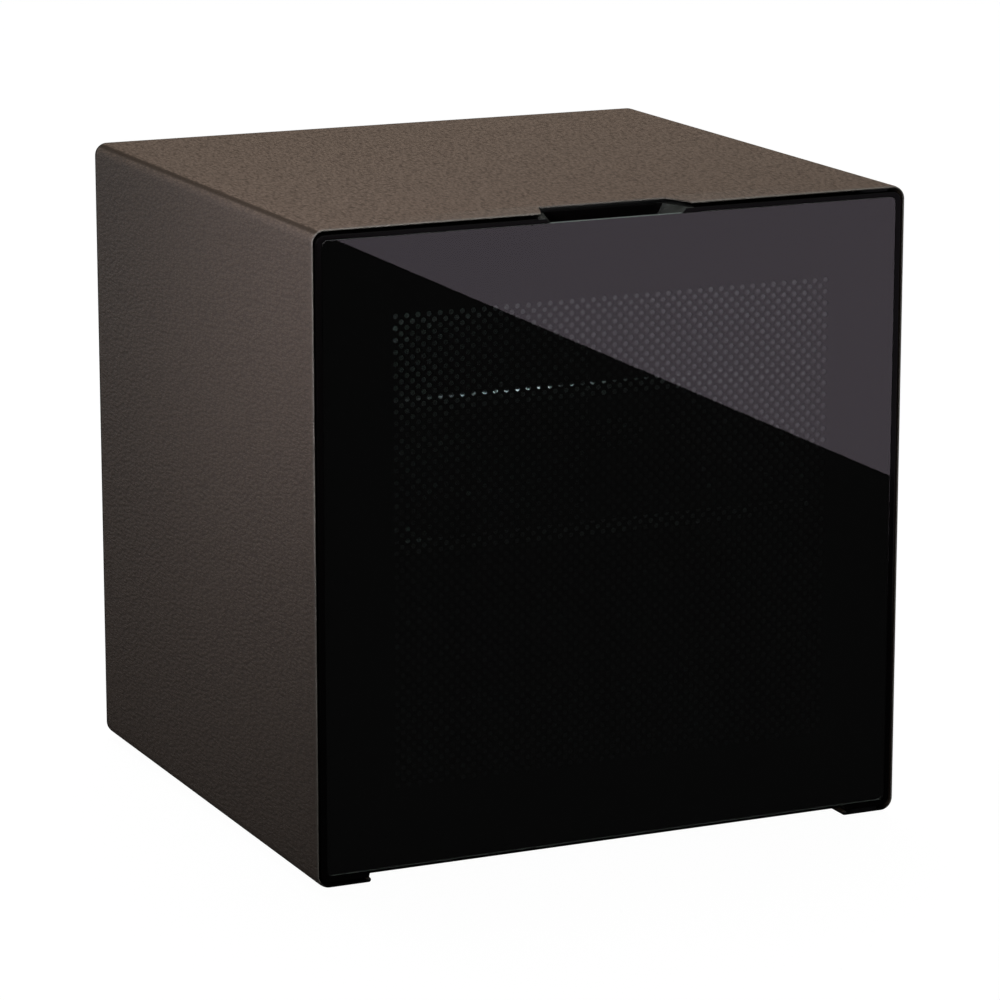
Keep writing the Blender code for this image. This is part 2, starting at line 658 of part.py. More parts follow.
def pipe_holes(owner):
    """Holes through the rear wall for the suction line and the capillary tube."""
    places = (("suction", SUCTION_R + 2 * SEAT), ("capillary", CAPILLARY_R + 2 * SEAT))
    middle = (ROOM_REAR + PANEL_Y) / 2
    return [cylinder(f"{kind} hole {owner}", (PIPE_X[kind], middle, PIPE_Z), radius,
                     PANEL_Y - ROOM_REAR + 4 * LINER, axis="Y", sides=16, cutter=True)
            for kind, radius in places]


def drain_hole(owner):
    low, high = BAY_TOP - 2 * LINER, STEP_TOP + 2 * LINER
    return cylinder(f"drain hole {owner}", (DRAIN_X, gutter_y(), (low + high) / 2), DRAIN_R + SEAT,
                    high - low, sides=16, cutter=True)


def gutter_y():
    return ROOM_REAR - GUTTER_DEPTH / 2 - SEAT


def room(name, grow, ribs, front):
    """The storage room with its step over the machine bay, grown by a wall thickness."""
    half, low, high = ROOM_HALF + grow, ROOM_LOW - grow, ROOM_TOP + grow
    outline = rounded_rect(half, low, high, LINER_R + grow)
    if ribs:
        outline = with_ribs(half, low, high)
    solid = loft(name, [at(outline, front), at(outline, ROOM_REAR + grow)], cutter=True)
    step = box(name + " step", (-WIDTH, STEP_Y + grow, low - WALL), (WIDTH, REAR, STEP_TOP - grow),
               cutter=True)
    return cut(solid, step)


def with_ribs(half, low, high):
    """Room outline with a pair of shelf ribs on both side walls at each shelf."""
    right = arc(half - LINER_R, low + LINER_R, LINER_R, -90, 0, 5)
    for top in SHELF_TOPS:
        for rib_low, rib_high in ((top - RIB_HEIGHT, top), (top + RIB_SLOT, top + RIB_SLOT + RIB_HEIGHT / 2)):
            right += [(half, rib_low), (half - RIB_DEPTH, rib_low + SHEET),
                      (half - RIB_DEPTH, rib_high), (half, rib_high)]
    right += arc(half - LINER_R, high - LINER_R, LINER_R, 0, 90, 5)
    return right + [(-x, z) for x, z in reversed(right)]


def make_carcass():
    """Foam, liner and front frame, all cut by the same storage room."""
    foam = slab("insulation_foam", [carcass_outline()], "Y", FOAM_Y, PANEL_Y - SHEET - SEAT)
    bay = box("bay in foam", (-WIDTH, BAY_Y - SHEET - SEAT, -LOW), (WIDTH, REAR, BAY_TOP + SHEET + SEAT),
              cutter=True)
    hinge = box("hinge plate pocket", (PLATE_X[0] - SEAT, FOAM_Y - LINER, UPPER_PLATE_Z - SEAT),
                (PLATE_X[1] + SEAT, FRAME_Y + PLATE_REACH + SEAT, TOP), cutter=True)
    cut(foam, bay, room("liner in foam", LINER + SEAT, False, FOAM_Y - LINER), hinge,
        *pipe_holes("foam"), drain_hole("foam"))
    finish(foam, "polyurethane foam")

    flange = rounded_rect(ROOM_HALF + FLANGE, ROOM_LOW - FLANGE, ROOM_TOP + FLANGE, LINER_R + LINER)
    liner = slab("inner_liner", [flange], "Y", FLANGE_Y, FLANGE_Y + LINER)
    join(liner, room("liner outside", LINER, False, FLANGE_Y + LINER / 2))
    cut(liner, room("liner inside", 0.0, True, FLANGE_Y - LINER), *pipe_holes("liner"), drain_hole("liner"))
    finish(liner, "dark liner plastic")

    opening = rounded_rect(ROOM_HALF + SHEET, ROOM_LOW - SHEET, ROOM_TOP + SHEET, LINER_R + SHEET)
    frame = slab("front_frame", [carcass_outline(), opening], "Y", FRAME_Y, FRAME_Y + FRAME_SHEET)
    notch = box("hinge plate notch", (PLATE_X[0] - SEAT, FRAME_Y - SHEET, UPPER_PLATE_Z - SEAT),
                (PLATE_X[1] + SEAT, FOAM_Y, TOP), cutter=True)
    cut(frame, notch)
    finish(frame, "black painted steel")


def hinge_plate(name, low_z):
    rounding = PLATE_NOSE
    front, back = PIVOT.y - PLATE_NOSE, FRAME_Y + PLATE_REACH
    outline = ([(PLATE_X[1], back), (PLATE_X[0], back)]
               + arc(PLATE_X[0] + rounding, front + rounding, rounding, 180, 270, 4)
               + arc(PLATE_X[1] - rounding, front + rounding, rounding, 270, 360, 4))
    plate = slab(name, [outline], "Z", low_z, low_z + PLATE)
    cut(plate, cylinder(name + " hole", (PIVOT.x, PIVOT.y, low_z), PIN_R + SEAT, 4 * PLATE,
                        sides=16, cutter=True))
    return finish(plate, "black painted steel")


def make_hinges():
    hinge_plate("hinge_bracket_lower", LOWER_PLATE_Z)
    hinge_plate("hinge_bracket_upper", UPPER_PLATE_Z)
    head = LOWER_PLATE_Z - SEAT
    reach = BUSH_LENGTH - 2 * SEAT
    lower = [(0, HINGE_FOOT_Z + reach), (PIN_R, HINGE_FOOT_Z + reach), (PIN_R, head), (2 * PIN_R, head),
             (2 * PIN_R, LOW), (0, LOW)]
    finish(lathe("hinge_pin_lower", lower, (PIVOT.x, PIVOT.y, 0), steps=16), "zinc plated steel")
    upper = [(0, UPPER_PLATE_Z + PLATE), (PIN_R, UPPER_PLATE_Z + PLATE), (PIN_R, DOOR_TOP - reach),
             (0, DOOR_TOP - reach)]
    finish(lathe("hinge_pin_upper", upper, (PIVOT.x, PIVOT.y, 0), steps=16), "zinc plated steel")


def bush_profile(low, high):
    bore = PIN_R + RUNNING
    return [(bore, high), (BUSH_R, high), (BUSH_R, low), (bore, low)]


def make_door():
    """Door body: frame with rim and grip pocket, two panes, printed layer and gasket."""
    rounded = [(RIM_ROUND, 0.0), (0.3 * RIM_ROUND, 0.3 * RIM_ROUND), (0.0, RIM_ROUND)]
    rings = [at(door_outline(inset), FRONT + back) for inset, back in rounded]
    rings.append(at(door_outline(), DOOR_BACK))
    frame = loft("door_frame", rings)
    pane_seat = slab("pane seat", [rounded_rect(GLASS_HALF + SEAT, GLASS_LOW - SEAT, GLASS_TOP + SEAT,
                                                GLASS_R + SEAT)], "Y", FRONT - SHEET, LEDGE_Y, cutter=True)
    opening = slab("door opening", [rounded_rect(OPENING_HALF, OPENING_LOW, OPENING_TOP, GLASS_R)],
                   "Y", FRONT - SHEET, DOOR_BACK + SHEET, cutter=True)
    groove_half = ANCHOR_WIDTH / 2 + SEAT
    groove = ring("gasket groove", *gasket_line(),
                  [(-groove_half, DOOR_BACK + SHEET), (groove_half, DOOR_BACK + SHEET),
                   (groove_half, DOOR_BACK - ANCHOR_DEPTH - SEAT),
                   (-groove_half, DOOR_BACK - ANCHOR_DEPTH - SEAT)], cutter=True)
    cut(frame, pane_seat, opening, groove, *grip_cutters())
    for name, middle in (("lower", HINGE_FOOT_Z), ("upper", DOOR_TOP)):
        cut(frame, cylinder(f"{name} bush bore", (PIVOT.x, PIVOT.y, middle), BUSH_R + SEAT,
                            2 * (BUSH_LENGTH + SEAT), sides=16, cutter=True))
    finish(frame, "black gloss plastic")

    bushes = (("hinge_bush_lower", HINGE_FOOT_Z, HINGE_FOOT_Z + BUSH_LENGTH),
              ("hinge_bush_upper", DOOR_TOP - BUSH_LENGTH, DOOR_TOP))
    for name, low, high in bushes:
        bush = lathe(name, bush_profile(low, high), (PIVOT.x, PIVOT.y, 0), steps=16, ring=True)
        finish(bush, "acetal bush plastic")

    edge = GLASS / 8
    panes = (("door_glass_outer", GLASS_HALF, GLASS_LOW, GLASS_TOP, FRONT),
             ("door_glass_inner", OPENING_HALF - GLASS, OPENING_LOW + GLASS, OPENING_TOP - GLASS,
              INNER_PANE_Y))
    for name, half, low, high, y in panes:
        steps = ((edge, 0.0), (0.0, edge), (0.0, GLASS - edge), (edge, GLASS))
        rings = [at(rounded_rect(half - inset, low + inset, high - inset, GLASS_R - inset), y + back)
                 for inset, back in steps]
        finish(loft(name, rings), "dark glass")

    margin = GLASS
    film = slab("printed_screen",
                [rounded_rect(GLASS_HALF - margin, GLASS_LOW + margin, GLASS_TOP - margin, GLASS_R),
                 rounded_rect(WINDOW / 2, WINDOW_Z, WINDOW_Z + WINDOW, GLASS_R / 2)],
                "Y", FILM_Y, FILM_Y + FILM)
    finish(film, "black printed layer")

    spacer_out = OPENING_HALF - GLASS
    spacer = [(0, LEDGE_Y), (0, LEDGE_Y + PANE_SPACE), (-SPACER, LEDGE_Y + PANE_SPACE), (-SPACER, LEDGE_Y)]
    finish(ring("glazing_spacer", spacer_out, OPENING_LOW + GLASS, OPENING_TOP - GLASS, SPACER + SHEET,
                spacer), "aluminium")

    step = (DOOR_BACK - RETAINER_Y) / 3
    retainer = [(0, RETAINER_Y), (0, DOOR_BACK), (-RETAINER + step, DOOR_BACK),
                (-RETAINER, DOOR_BACK - step), (-RETAINER, RETAINER_Y)]
    finish(ring("door_inner_frame", OPENING_HALF - SEAT, OPENING_LOW + SEAT, OPENING_TOP - SEAT,
                RETAINER + SHEET, retainer), "dark liner plastic")
    make_gasket()


def gasket_line():
    return (ROOM_HALF + GASKET_OFFSET, ROOM_LOW - GASKET_OFFSET, ROOM_TOP + GASKET_OFFSET,
            LINER_R + GASKET_WIDTH)


def make_gasket():
    """Magnetic gasket: an anchor in the door's groove, bellows, and a flat sealing face."""
    half, anchor = GASKET_WIDTH / 2, ANCHOR_WIDTH / 2
    root, seal = DOOR_BACK + SEAT, FRAME_Y - SEAT
    waist = half - GASKET_WIDTH / 7
    parts = [(anchor, DOOR_BACK - ANCHOR_DEPTH), (anchor, root), (half, root)]
    folds = 2
    for k in range(folds):
        low = root + (seal - root) * (k + 0.25) / (folds + 0.5)
        high = root + (seal - root) * (k + 0.75) / (folds + 0.5)
        parts += [(waist, low), (half, high)]
    parts += [(half, seal)]
    section = parts + [(-out, y) for out, y in reversed(parts)]
    gasket = ring("door_gasket", *gasket_line(), section)
    finish(gasket, "black rubber")


def grip_cutters():
    """The grip: a notch down to the pane's edge, and a finger pocket behind the pane."""
    front, back = GRIP_FRONT / 2, GRIP_BACK / 2
    lip_y = LEDGE_Y + GRIP_LIP
    end_y = FRONT + GRIP_DEPTH
    fall = TOP - GLASS_TOP
    lip_z, pocket_z = GLASS_TOP - SEAT, TOP - GRIP_POCKET
    inner = front - fall
    notch = wedge("grip notch", lip_z, TOP,
                  [(-inner, FRONT - SHEET), (inner, FRONT - SHEET), (-inner, lip_y + SHEET),
                   (inner, lip_y + SHEET)],
                  [(-front, FRONT - SHEET), (front, FRONT - SHEET), (-front, lip_y + SHEET),
                   (front, lip_y + SHEET)], cutter=True)
    floor = back - (TOP - pocket_z) / 2
    pocket = wedge("grip pocket", pocket_z, TOP,
                   [(-floor, lip_y), (floor, lip_y), (-floor, end_y), (floor, end_y)],
                   [(-front, lip_y), (front, lip_y), (-back, end_y), (back, end_y)], cutter=True)
    return notch, pocket


def make_shelves():
    """Glass shelves on the liner's ribs, each with a front and a rear trim."""
    front = FRAME_Y + SHELF_SETBACK
    rear = ROOM_REAR - SHELF_REAR_GAP
    glass_half = ROOM_HALF - SHELF_SIDE_GAP
    trim_half = ROOM_HALF - RIB_DEPTH - SHELF_SIDE_GAP
    for place, top in zip(("lower", "upper"), SHELF_TOPS):
        low, high = top + SEAT, top + SEAT + SHELF_GLASS
        outline = [(-glass_half, front), (glass_half, front), (glass_half, rear), (-glass_half, rear)]
        glass = slab(f"shelf_glass_{place}", [outline], "Z", low, high)
        finish(glass, "dark glass")
        hold = 0.6 * TRIM_DEPTH
        under, over = low - SEAT - TRIM_WALL, high + SEAT + TRIM_WALL
        profile = [(front + hold, over), (front - TRIM_WALL - SEAT, over),
                   (front - TRIM_WALL - SEAT, under - TRIM_WALL), (front + SEAT, under - 2 * TRIM_WALL),
                   (front + hold, under), (front + hold, low - SEAT), (front - SEAT, low - SEAT),
                   (front - SEAT, high + SEAT), (front + hold, high + SEAT)]
        trim = slab(f"shelf_front_trim_{place}", [profile], "X", -trim_half, trim_half)
        finish(trim, "aluminium")
        fence = high + 3 * TRIM_DEPTH / 2
        profile = [(rear - hold, under), (rear + SEAT + TRIM_WALL, under), (rear + SEAT + TRIM_WALL, fence),
                   (rear + SEAT, fence), (rear + SEAT, over), (rear - hold, over), (rear - hold, high + SEAT),
                   (rear + SEAT / 2, high + SEAT), (rear + SEAT / 2, low - SEAT), (rear - hold, low - SEAT)]
        trim = slab(f"shelf_rear_trim_{place}", [profile], "X", -trim_half, trim_half)
        finish(trim, "aluminium")


def make_controls():
    """Box under the ceiling with the thermostat, its knob, the lamp and its lens."""
    front = FRAME_Y + BOX_SETBACK
    rear = front + BOX_DEPTH
    high, low = ROOM_TOP - SEAT, ROOM_TOP - SEAT - BOX_HEIGHT
    knob_z = high - KNOB_DROP
    half = BOX_WIDTH / 2
    housing = box("control_housing", (-half, front, low), (half, rear, high), bevel=BOX_WALL / 2)
    hollow = box("control hollow", (BOX_WALL - half, front + BOX_WALL, low + BOX_WALL),
                 (half - BOX_WALL, rear - BOX_WALL, high + BOX_WALL), cutter=True)
    lens_y = (front + rear) / 2
    lens_half, lens_side = LENS_LENGTH / 2, LENS_WIDTH / 2
    window = box("lens window", (LENS_X - lens_half, lens_y - lens_side, low - BOX_WALL),
                 (LENS_X + lens_half, lens_y + lens_side, low + 2 * BOX_WALL), cutter=True)
    shaft_hole = cylinder("shaft hole", (KNOB_X, front, knob_z), SHAFT_R + SEAT, 4 * BOX_WALL, axis="Y",
                          sides=16, cutter=True)
    sensor_hole = cylinder("sensor hole", (KNOB_X, rear, knob_z), CAPILLARY_R + SEAT, 4 * BOX_WALL,
                           axis="Y", sides=12, cutter=True)
    cut(housing, hollow, window, shaft_hole, sensor_hole)
    finish(housing, "dark liner plastic")

    floor = low + BOX_WALL + SEAT
    flange = box("lamp_lens", (LENS_X - lens_half - LINER, lens_y - lens_side - LINER, floor),
                 (LENS_X + lens_half + LINER, lens_y + lens_side + LINER, floor + BOX_WALL))
    drop = box("lens drop", (LENS_X - lens_half + SEAT, lens_y - lens_side + SEAT, low - BOX_WALL),
               (LENS_X + lens_half - SEAT, lens_y + lens_side - SEAT, floor + BOX_WALL / 2), cutter=True)
    finish(join(flange, drop), "frosted lamp plastic")
    board = floor + BOX_WALL + SEAT
    strip = box("led_strip", (LENS_X - lens_half + LINER, lens_y - lens_side / 2, board),
                (LENS_X + lens_half - LINER, lens_y + lens_side / 2, board + 0.8 * LINER))
    finish(strip, "green circuit board")

    body_y = front + BOX_WALL + SEAT
    switch = box("thermostat_switch", (KNOB_X - KNOB_R, body_y, floor),
                 (KNOB_X + KNOB_R, body_y + 2 * KNOB_R, high - BOX_WALL), bevel=SHEET)
    shaft_end = front - SEAT - 0.7 * KNOB_LENGTH
    shaft = cylinder("thermostat shaft", (KNOB_X, (shaft_end + body_y + SHAFT_R) / 2, knob_z), SHAFT_R,
                     body_y + SHAFT_R - shaft_end, axis="Y", sides=16, cutter=True)
    finish(join(switch, shaft), "grey plastic")

    bore = SHAFT_R + RUNNING
    depth = 0.7 * KNOB_LENGTH + RUNNING
    profile = [(0, KNOB_LENGTH), (KNOB_R - SHEET, KNOB_LENGTH), (KNOB_R, KNOB_LENGTH - SHEET),
               (KNOB_R, SEAT), (bore, SEAT), (bore, depth), (0, depth)]
    knob = lathe("thermostat_knob", profile, (KNOB_X, front - SEAT, knob_z), axis="Y", steps=24)
    bar = box("knob bar", (KNOB_X - SHAFT_R, front - SEAT - 1.4 * KNOB_LENGTH, knob_z - KNOB_R + SHEET),
              (KNOB_X + SHAFT_R, front - SEAT - 0.85 * KNOB_LENGTH, knob_z + KNOB_R - SHEET), cutter=True)
    finish(join(knob, bar), "grey plastic")

    start = body_y + 2 * KNOB_R + SEAT
    plate_front = evaporator_front() - CAPILLARY_R - SEAT
    bulb_low = EVAPORATOR_HIGH - CHANNEL_MARGIN + 3 * CHANNEL_R
    sensor = bent([(KNOB_X, start, knob_z), (KNOB_X, plate_front, knob_z), (KNOB_X, plate_front, bulb_low)],
                  KNOB_R / 2)
    finish(tube("sensor_tube", sensor, CAPILLARY_R), "copper pipe")


def evaporator_front():
    return ROOM_REAR - EVAPORATOR_STAND - EVAPORATOR_SHEET


def serpentine(half, top, pitch, runs, y, steps=5):
    """Runs across X that turn down into each other in half circles."""
    route = []
    for k in range(runs):
        side = 1 if k % 2 == 0 else -1
        z = top - k * pitch
        route.append((-side * half, y, z))
        if k < runs - 1:
            turn = arc(side * half, z - pitch / 2, pitch / 2, 90, 90 - side * 180, steps)
            route += [(u, y, v) for u, v in turn]
        else:
            route.append((side * half, y, z))
    return route


def tidy_route(route):
    """Leave out a point that lies on the one before it."""
    kept = [Vector(route[0])]
    for point in route[1:]:
        if (Vector(point) - kept[-1]).length > SEAT:
            kept.append(Vector(point))
    return kept


def make_evaporator():
    """Cold plate with a raised channel, standing on four studs, and the gutter under it."""
    y = evaporator_front()
    outline = rounded_rect(EVAPORATOR_HALF, EVAPORATOR_LOW, EVAPORATOR_HIGH, LINER_R)
    plate = slab("evaporator_plate", [outline], "Y", y, y + EVAPORATOR_SHEET)
    margin = CHANNEL_MARGIN
    pitch = (EVAPORATOR_HIGH - EVAPORATOR_LOW - 2 * margin) / (CHANNEL_RUNS - 1)
    route = serpentine(EVAPORATOR_HALF - margin - pitch / 2, EVAPORATOR_HIGH - margin, pitch, CHANNEL_RUNS,
                       y + EVAPORATOR_SHEET / 2)
    join(plate, tube_mesh("raised channel", tidy_route(route), CHANNEL_R, cutter=True))
    for side in (-1, 1):
        for z in (EVAPORATOR_LOW + LINER_R, EVAPORATOR_HIGH - LINER_R):
            stud_end = ROOM_REAR - SEAT
            stud = cylinder(f"stud {side} {z:.2f}",
                            (side * (EVAPORATOR_HALF - STUD_INSET), (y + stud_end) / 2 + SHEET / 4, z),
                            STUD_R, stud_end - y - SHEET / 2, axis="Y", sides=12, cutter=True)
            join(plate, stud)
    finish(plate, "aluminium")

    near, far = gutter_y() - GUTTER_DEPTH / 2, gutter_y() + GUTTER_DEPTH / 2
    low = STEP_TOP + SEAT
    profile = [(near, low + GUTTER_HEIGHT), (near, low), (far, low), (far, low + GUTTER_HEIGHT),
               (far - GUTTER_WALL, low + GUTTER_HEIGHT), (far - GUTTER_WALL, low + 2 * GUTTER_WALL),
               (gutter_y(), low + GUTTER_WALL), (near + GUTTER_WALL, low + 2 * GUTTER_WALL),
               (near + GUTTER_WALL, low + GUTTER_HEIGHT)]
    gutter = slab("drip_gutter", [profile], "X", -EVAPORATOR_HALF, EVAPORATOR_HALF)
    cut(gutter, cylinder("gutter drain", (DRAIN_X, gutter_y(), low), DRAIN_R - GUTTER_WALL, 8 * GUTTER_WALL,
                         sides=16, cutter=True))
    finish(gutter, "grey plastic")

    wall = DRAIN_R - GUTTER_WALL
    profile = [(wall, STEP_TOP), (DRAIN_R, STEP_TOP), (DRAIN_R, DRAIN_END), (wall, DRAIN_END)]
    drain = lathe("drain_tube", profile, (DRAIN_X, gutter_y(), 0), steps=16, ring=True)
    finish(drain, "grey plastic")


def make_compressor():
    """Welded shell on a plate and four rubber grommets, with its relay and stubs."""
    x, y = COMPRESSOR
    radius, inner, seam = COMPRESSOR_R, COMPRESSOR_R - SHEET, SHELL_Z + SEAM
    profile = ([(0, SHELL_TOP)] + [(share * radius, SHELL_TOP - drop * radius) for share, drop in DOME]
               + [(radius, seam + BEAD), (radius + BEAD, seam + BEAD), (radius + BEAD, seam - BEAD),
                  (inner, seam - BEAD)]
               + [(share * inner, SHELL_Z + high * radius) for share, high in BOWL] + [(0, SHELL_Z)])
    finish(lathe("compressor_shell", profile, (x, y, 0), steps=28), "black painted steel")

    half_x, half_y = MOUNT_HALF
    corner = GROMMET_R
    outline = [(x + u, y + v) for u, v in rounded_rect(half_x, -half_y, half_y, corner, 4)]
    plate = slab("compressor_mounting_plate", [outline], "Z", MOUNT_Z, MOUNT_Z + MOUNT_SHEET)
    places = [(x + sx * (half_x - corner), y + sy * (half_y - corner)) for sy in (-1, 1) for sx in (-1, 1)]
    waist = GROMMET_WAIST
    lip, cap = GROMMET_LIP
    for k, (gx, gy) in enumerate(places, 1):
        cut(plate, cylinder(f"grommet hole {k}", (gx, gy, MOUNT_Z), waist + SEAT, 8 * MOUNT_SHEET, sides=16,
                            cutter=True))
        under, over = MOUNT_Z - SEAT, MOUNT_Z + MOUNT_SHEET + SEAT
        profile = [(0, over + cap), (waist + lip, over + cap), (waist + lip, over), (waist, over),
                   (waist, under), (GROMMET_R, under), (GROMMET_R - SHEET, GROMMET_Z), (0, GROMMET_Z)]
        finish(lathe(f"compressor_grommet_{k}", profile, (gx, gy, 0), steps=14), "black rubber")
    finish(plate, "black painted steel")

    relay_y = y + radius + SEAT
    low, high = (SHELL_Z + level for level in RELAY_SPAN)
    relay = box("relay_cover", (x - RELAY_HALF, relay_y, low), (x + RELAY_HALF, relay_y + RELAY_DEPTH, high),
                bevel=LEAD_R)
    hug = cylinder("relay seat", (x, y, (low + high) / 2), radius + BEAD + SEAT, COMPRESSOR_HEIGHT,
                   sides=28, cutter=True)
    finish(cut(relay, hug), "dark liner plastic")

    level, away = DISCHARGE_Z, y - radius - STUB_REACH
    stub = [(x, y - radius + SHEET - SEAT, level), (x, away, level), (x, away, level + 2 * STUB_REACH)]
    finish(tube("process_tube", bent(stub, STUB_REACH / 2), SHAFT_R), "copper pipe")

    half_x, half_y = PAN_HALF
    pan = box("evaporation_pan", (x - half_x, y - half_y, PAN_Z), (x + half_x, y + half_y, PAN_Z + PAN_HEIGHT),
              bevel=PAN_WALL)
    hollow = box("pan hollow", (x - half_x + PAN_WALL, y - half_y + PAN_WALL, PAN_Z + PAN_WALL),
                 (x + half_x - PAN_WALL, y + half_y - PAN_WALL, PAN_Z + 2 * PAN_HEIGHT), cutter=True)
    finish(cut(pan, hollow), "dark liner plastic")


def make_condenser():
    """Louvred steel plate with the condenser pipe laid on it, on two brackets."""
    near = PANEL_Y + CONDENSER_OFF
    slot_height = COIL_PITCH - SLOT_BAR
    step = 2 * (COIL_HALF - SLOT_HALF) / SLOT_COLUMNS
    loops = [rounded_rect(CONDENSER_HALF, CONDENSER_LOW, CONDENSER_HIGH, DRIER_R, 3)]
    for row in range(COIL_RUNS - 1):
        low = COIL_TOP - row * COIL_PITCH - COIL_PITCH / 2 - slot_height / 2
        for column in range(SLOT_COLUMNS):
            x = (column - (SLOT_COLUMNS - 1) / 2) * step
            loops.append([(x - SLOT_HALF, low), (x + SLOT_HALF, low), (x + SLOT_HALF, low + slot_height),
                          (x - SLOT_HALF, low + slot_height)])
    plate = slab("condenser_plate", loops, "Y", near, near + SHEET)
    finish(plate, "black painted steel")

    y = near + SHEET + SEAT + PIPE_R
    route = serpentine(COIL_HALF - COIL_PITCH / 2, COIL_TOP, COIL_PITCH, COIL_RUNS, y)
    side_x = CONDENSER_HALF + 3 * PIPE_R
    last_z = COIL_TOP - (COIL_RUNS - 1) * COIL_PITCH
    route[0] = (-side_x + 4 * PIPE_R, y, COIL_TOP)
    route[-1:] = bent([route[-2], (side_x, y, last_z), (side_x, y, DRIER_HIGH + SEAT)], 4 * PIPE_R)[1:]
    finish(tube("condenser_coil", tidy_route(route), PIPE_R), "black painted steel")

    flange = CONDENSER_OFF
    for side, name in ((-1, "condenser_bracket_left"), (1, "condenser_bracket_right")):
        x = side * (CONDENSER_HALF - flange / 2)
        low_y, high_y = PANEL_Y + SEAT, near - SEAT
        half = flange / 4
        profile = [(x - half, low_y), (x + half, low_y), (x + half, high_y), (x + half - SHEET, high_y),
                   (x + half - SHEET, low_y + SHEET), (x - half + SHEET, low_y + SHEET),
                   (x - half + SHEET, high_y), (x - half, high_y)]
        bracket = slab(name, [profile], "Z", CONDENSER_LOW, CONDENSER_HIGH - flange)
        finish(bracket, "galvanised steel")

    drier = [(0, DRIER_HIGH), (PIPE_R * 1.5, DRIER_HIGH), (DRIER_R, DRIER_HIGH - DRIER_R),
             (DRIER_R, DRIER_LOW + DRIER_R), (PIPE_R, DRIER_LOW), (0, DRIER_LOW)]
    finish(lathe("filter_drier", drier, (side_x, y, 0), steps=16), "copper pipe")
    make_pipes(side_x, y)


def make_pipes(side_x, coil_y):
    """Discharge, suction and capillary lines and the motor's lead, each bent once."""
    x, y = COMPRESSOR
    behind = PANEL_Y + LINE_OFF
    level = DISCHARGE_Z
    discharge = bent([(x - COMPRESSOR_R + SHEET - 3 * SEAT, y, level), (-side_x, y, level),
                      (-side_x, coil_y, level), (-side_x, coil_y, COIL_TOP),
                      (-side_x + 4 * PIPE_R - SEAT, coil_y, COIL_TOP)], 3.4 * PIPE_R)
    finish(tube("discharge_line", discharge, PIPE_R), "copper pipe")

    cold = evaporator_front() + EVAPORATOR_SHEET + SEAT
    level = SUCTION_Z
    sx, cx = PIPE_X["suction"], PIPE_X["capillary"]
    suction = bent([(sx, cold, PIPE_Z), (sx, behind, PIPE_Z), (sx, behind, level), (0, behind, level),
                    (0, y, level), (x + COMPRESSOR_R - SHEET + 3 * SEAT, y, level)], 2.5 * SUCTION_R)
    finish(tube("suction_line", suction, SUCTION_R), "copper pipe")

    below = DRIER_LOW - 4 * CAPILLARY_R - LINER
    capillary = bent([(side_x, coil_y, DRIER_LOW - SEAT), (side_x, coil_y, below), (cx, coil_y, below),
                      (cx, behind, below), (cx, behind, PIPE_Z), (cx, cold, PIPE_Z)], 3 * CAPILLARY_R)
    finish(tube("capillary_tube", capillary, CAPILLARY_R), "copper pipe")

    ix, iy, iz = inlet_centre()
    lead_y = iy - INLET_DEPTH - SEAT
    ahead = lead_y - INLET_DEPTH
    relay_x, relay_y = x + RELAY_HALF + SEAT, y + COMPRESSOR_R + 4 * LEAD_R
    plug_x, plug_z = relay_x + 8 * LEAD_R, SHELL_Z + sum(RELAY_SPAN) / 2
    lead = bent([(ix, lead_y, iz), (ix, ahead, iz), (ix - INLET_DEPTH, ahead, TRAY_TOP + 3 * LEAD_R),
                 (ix / 4, ahead, TRAY_TOP + 3 * LEAD_R), (plug_x, relay_y, TRAY_TOP + 6 * LEAD_R),
                 (plug_x, relay_y, plug_z), (relay_x, relay_y, plug_z)], 2.7 * LEAD_R, 3)
    finish(tube("motor_lead", lead, LEAD_R), "black rubber")


def make_inlet():
    """Mains inlet in the tray's tab: a flanged socket with three flat blades."""
    x, y, z = inlet_centre()
    half_x, half_z = INLET_HALF
    body = box("power_inlet", (x - half_x, y - INLET_DEPTH, z - half_z), (x + half_x, y + SEAT * 2, z + half_z))
    flange = box("inlet flange", (x - half_x - LINER, y + SEAT, z - half_z - LINER),
                 (x + half_x + LINER, y + LINER + SEAT, z + half_z + LINER), cutter=True)
    hollow = box("inlet hollow", (x - half_x + INLET_WALL, y - INLET_DEPTH + 2 * INLET_WALL,
                                  z - half_z + INLET_WALL),
                 (x + half_x - INLET_WALL, y + 2 * LINER, z + half_z - INLET_WALL), cutter=True)
    join(body, flange)
    cut(body, hollow)
    wide, high = BLADE_HALF
    for k, (bx, bz) in enumerate(((-BLADE_X, -BLADE_Z), (0.0, BLADE_Z), (BLADE_X, -BLADE_Z))):
        pin = box(f"blade {k}", (x + bx - wide, y - INLET_DEPTH + INLET_WALL, z + bz - high),
                  (x + bx + wide, y - 2 * INLET_WALL, z + bz + high), cutter=True)
        join(body, pin)
    finish(body, "dark liner plastic")


MOVING = {
    "door hinge axis": ((PIVOT.x, PIVOT.y, LOW),
                        ("door_frame", "door_glass_outer", "printed_screen", "glazing_spacer",
                         "door_glass_inner", "door_inner_frame", "door_gasket", "hinge_bush_lower",
                         "hinge_bush_upper")),
}


def hang_moving_pieces():
    """Parent the door's pieces to an empty on the hinge axis. The knob turns on its own origin."""
    for name, (place, pieces) in MOVING.items():
        axis = bpy.data.objects.new(name, None)
        axis.location = place
        COLLECTION.objects.link(axis)
        for piece in pieces:
            obj = bpy.data.objects[piece]
            obj.parent = axis
            obj.matrix_parent_inverse = Matrix.Translation(place).inverted()


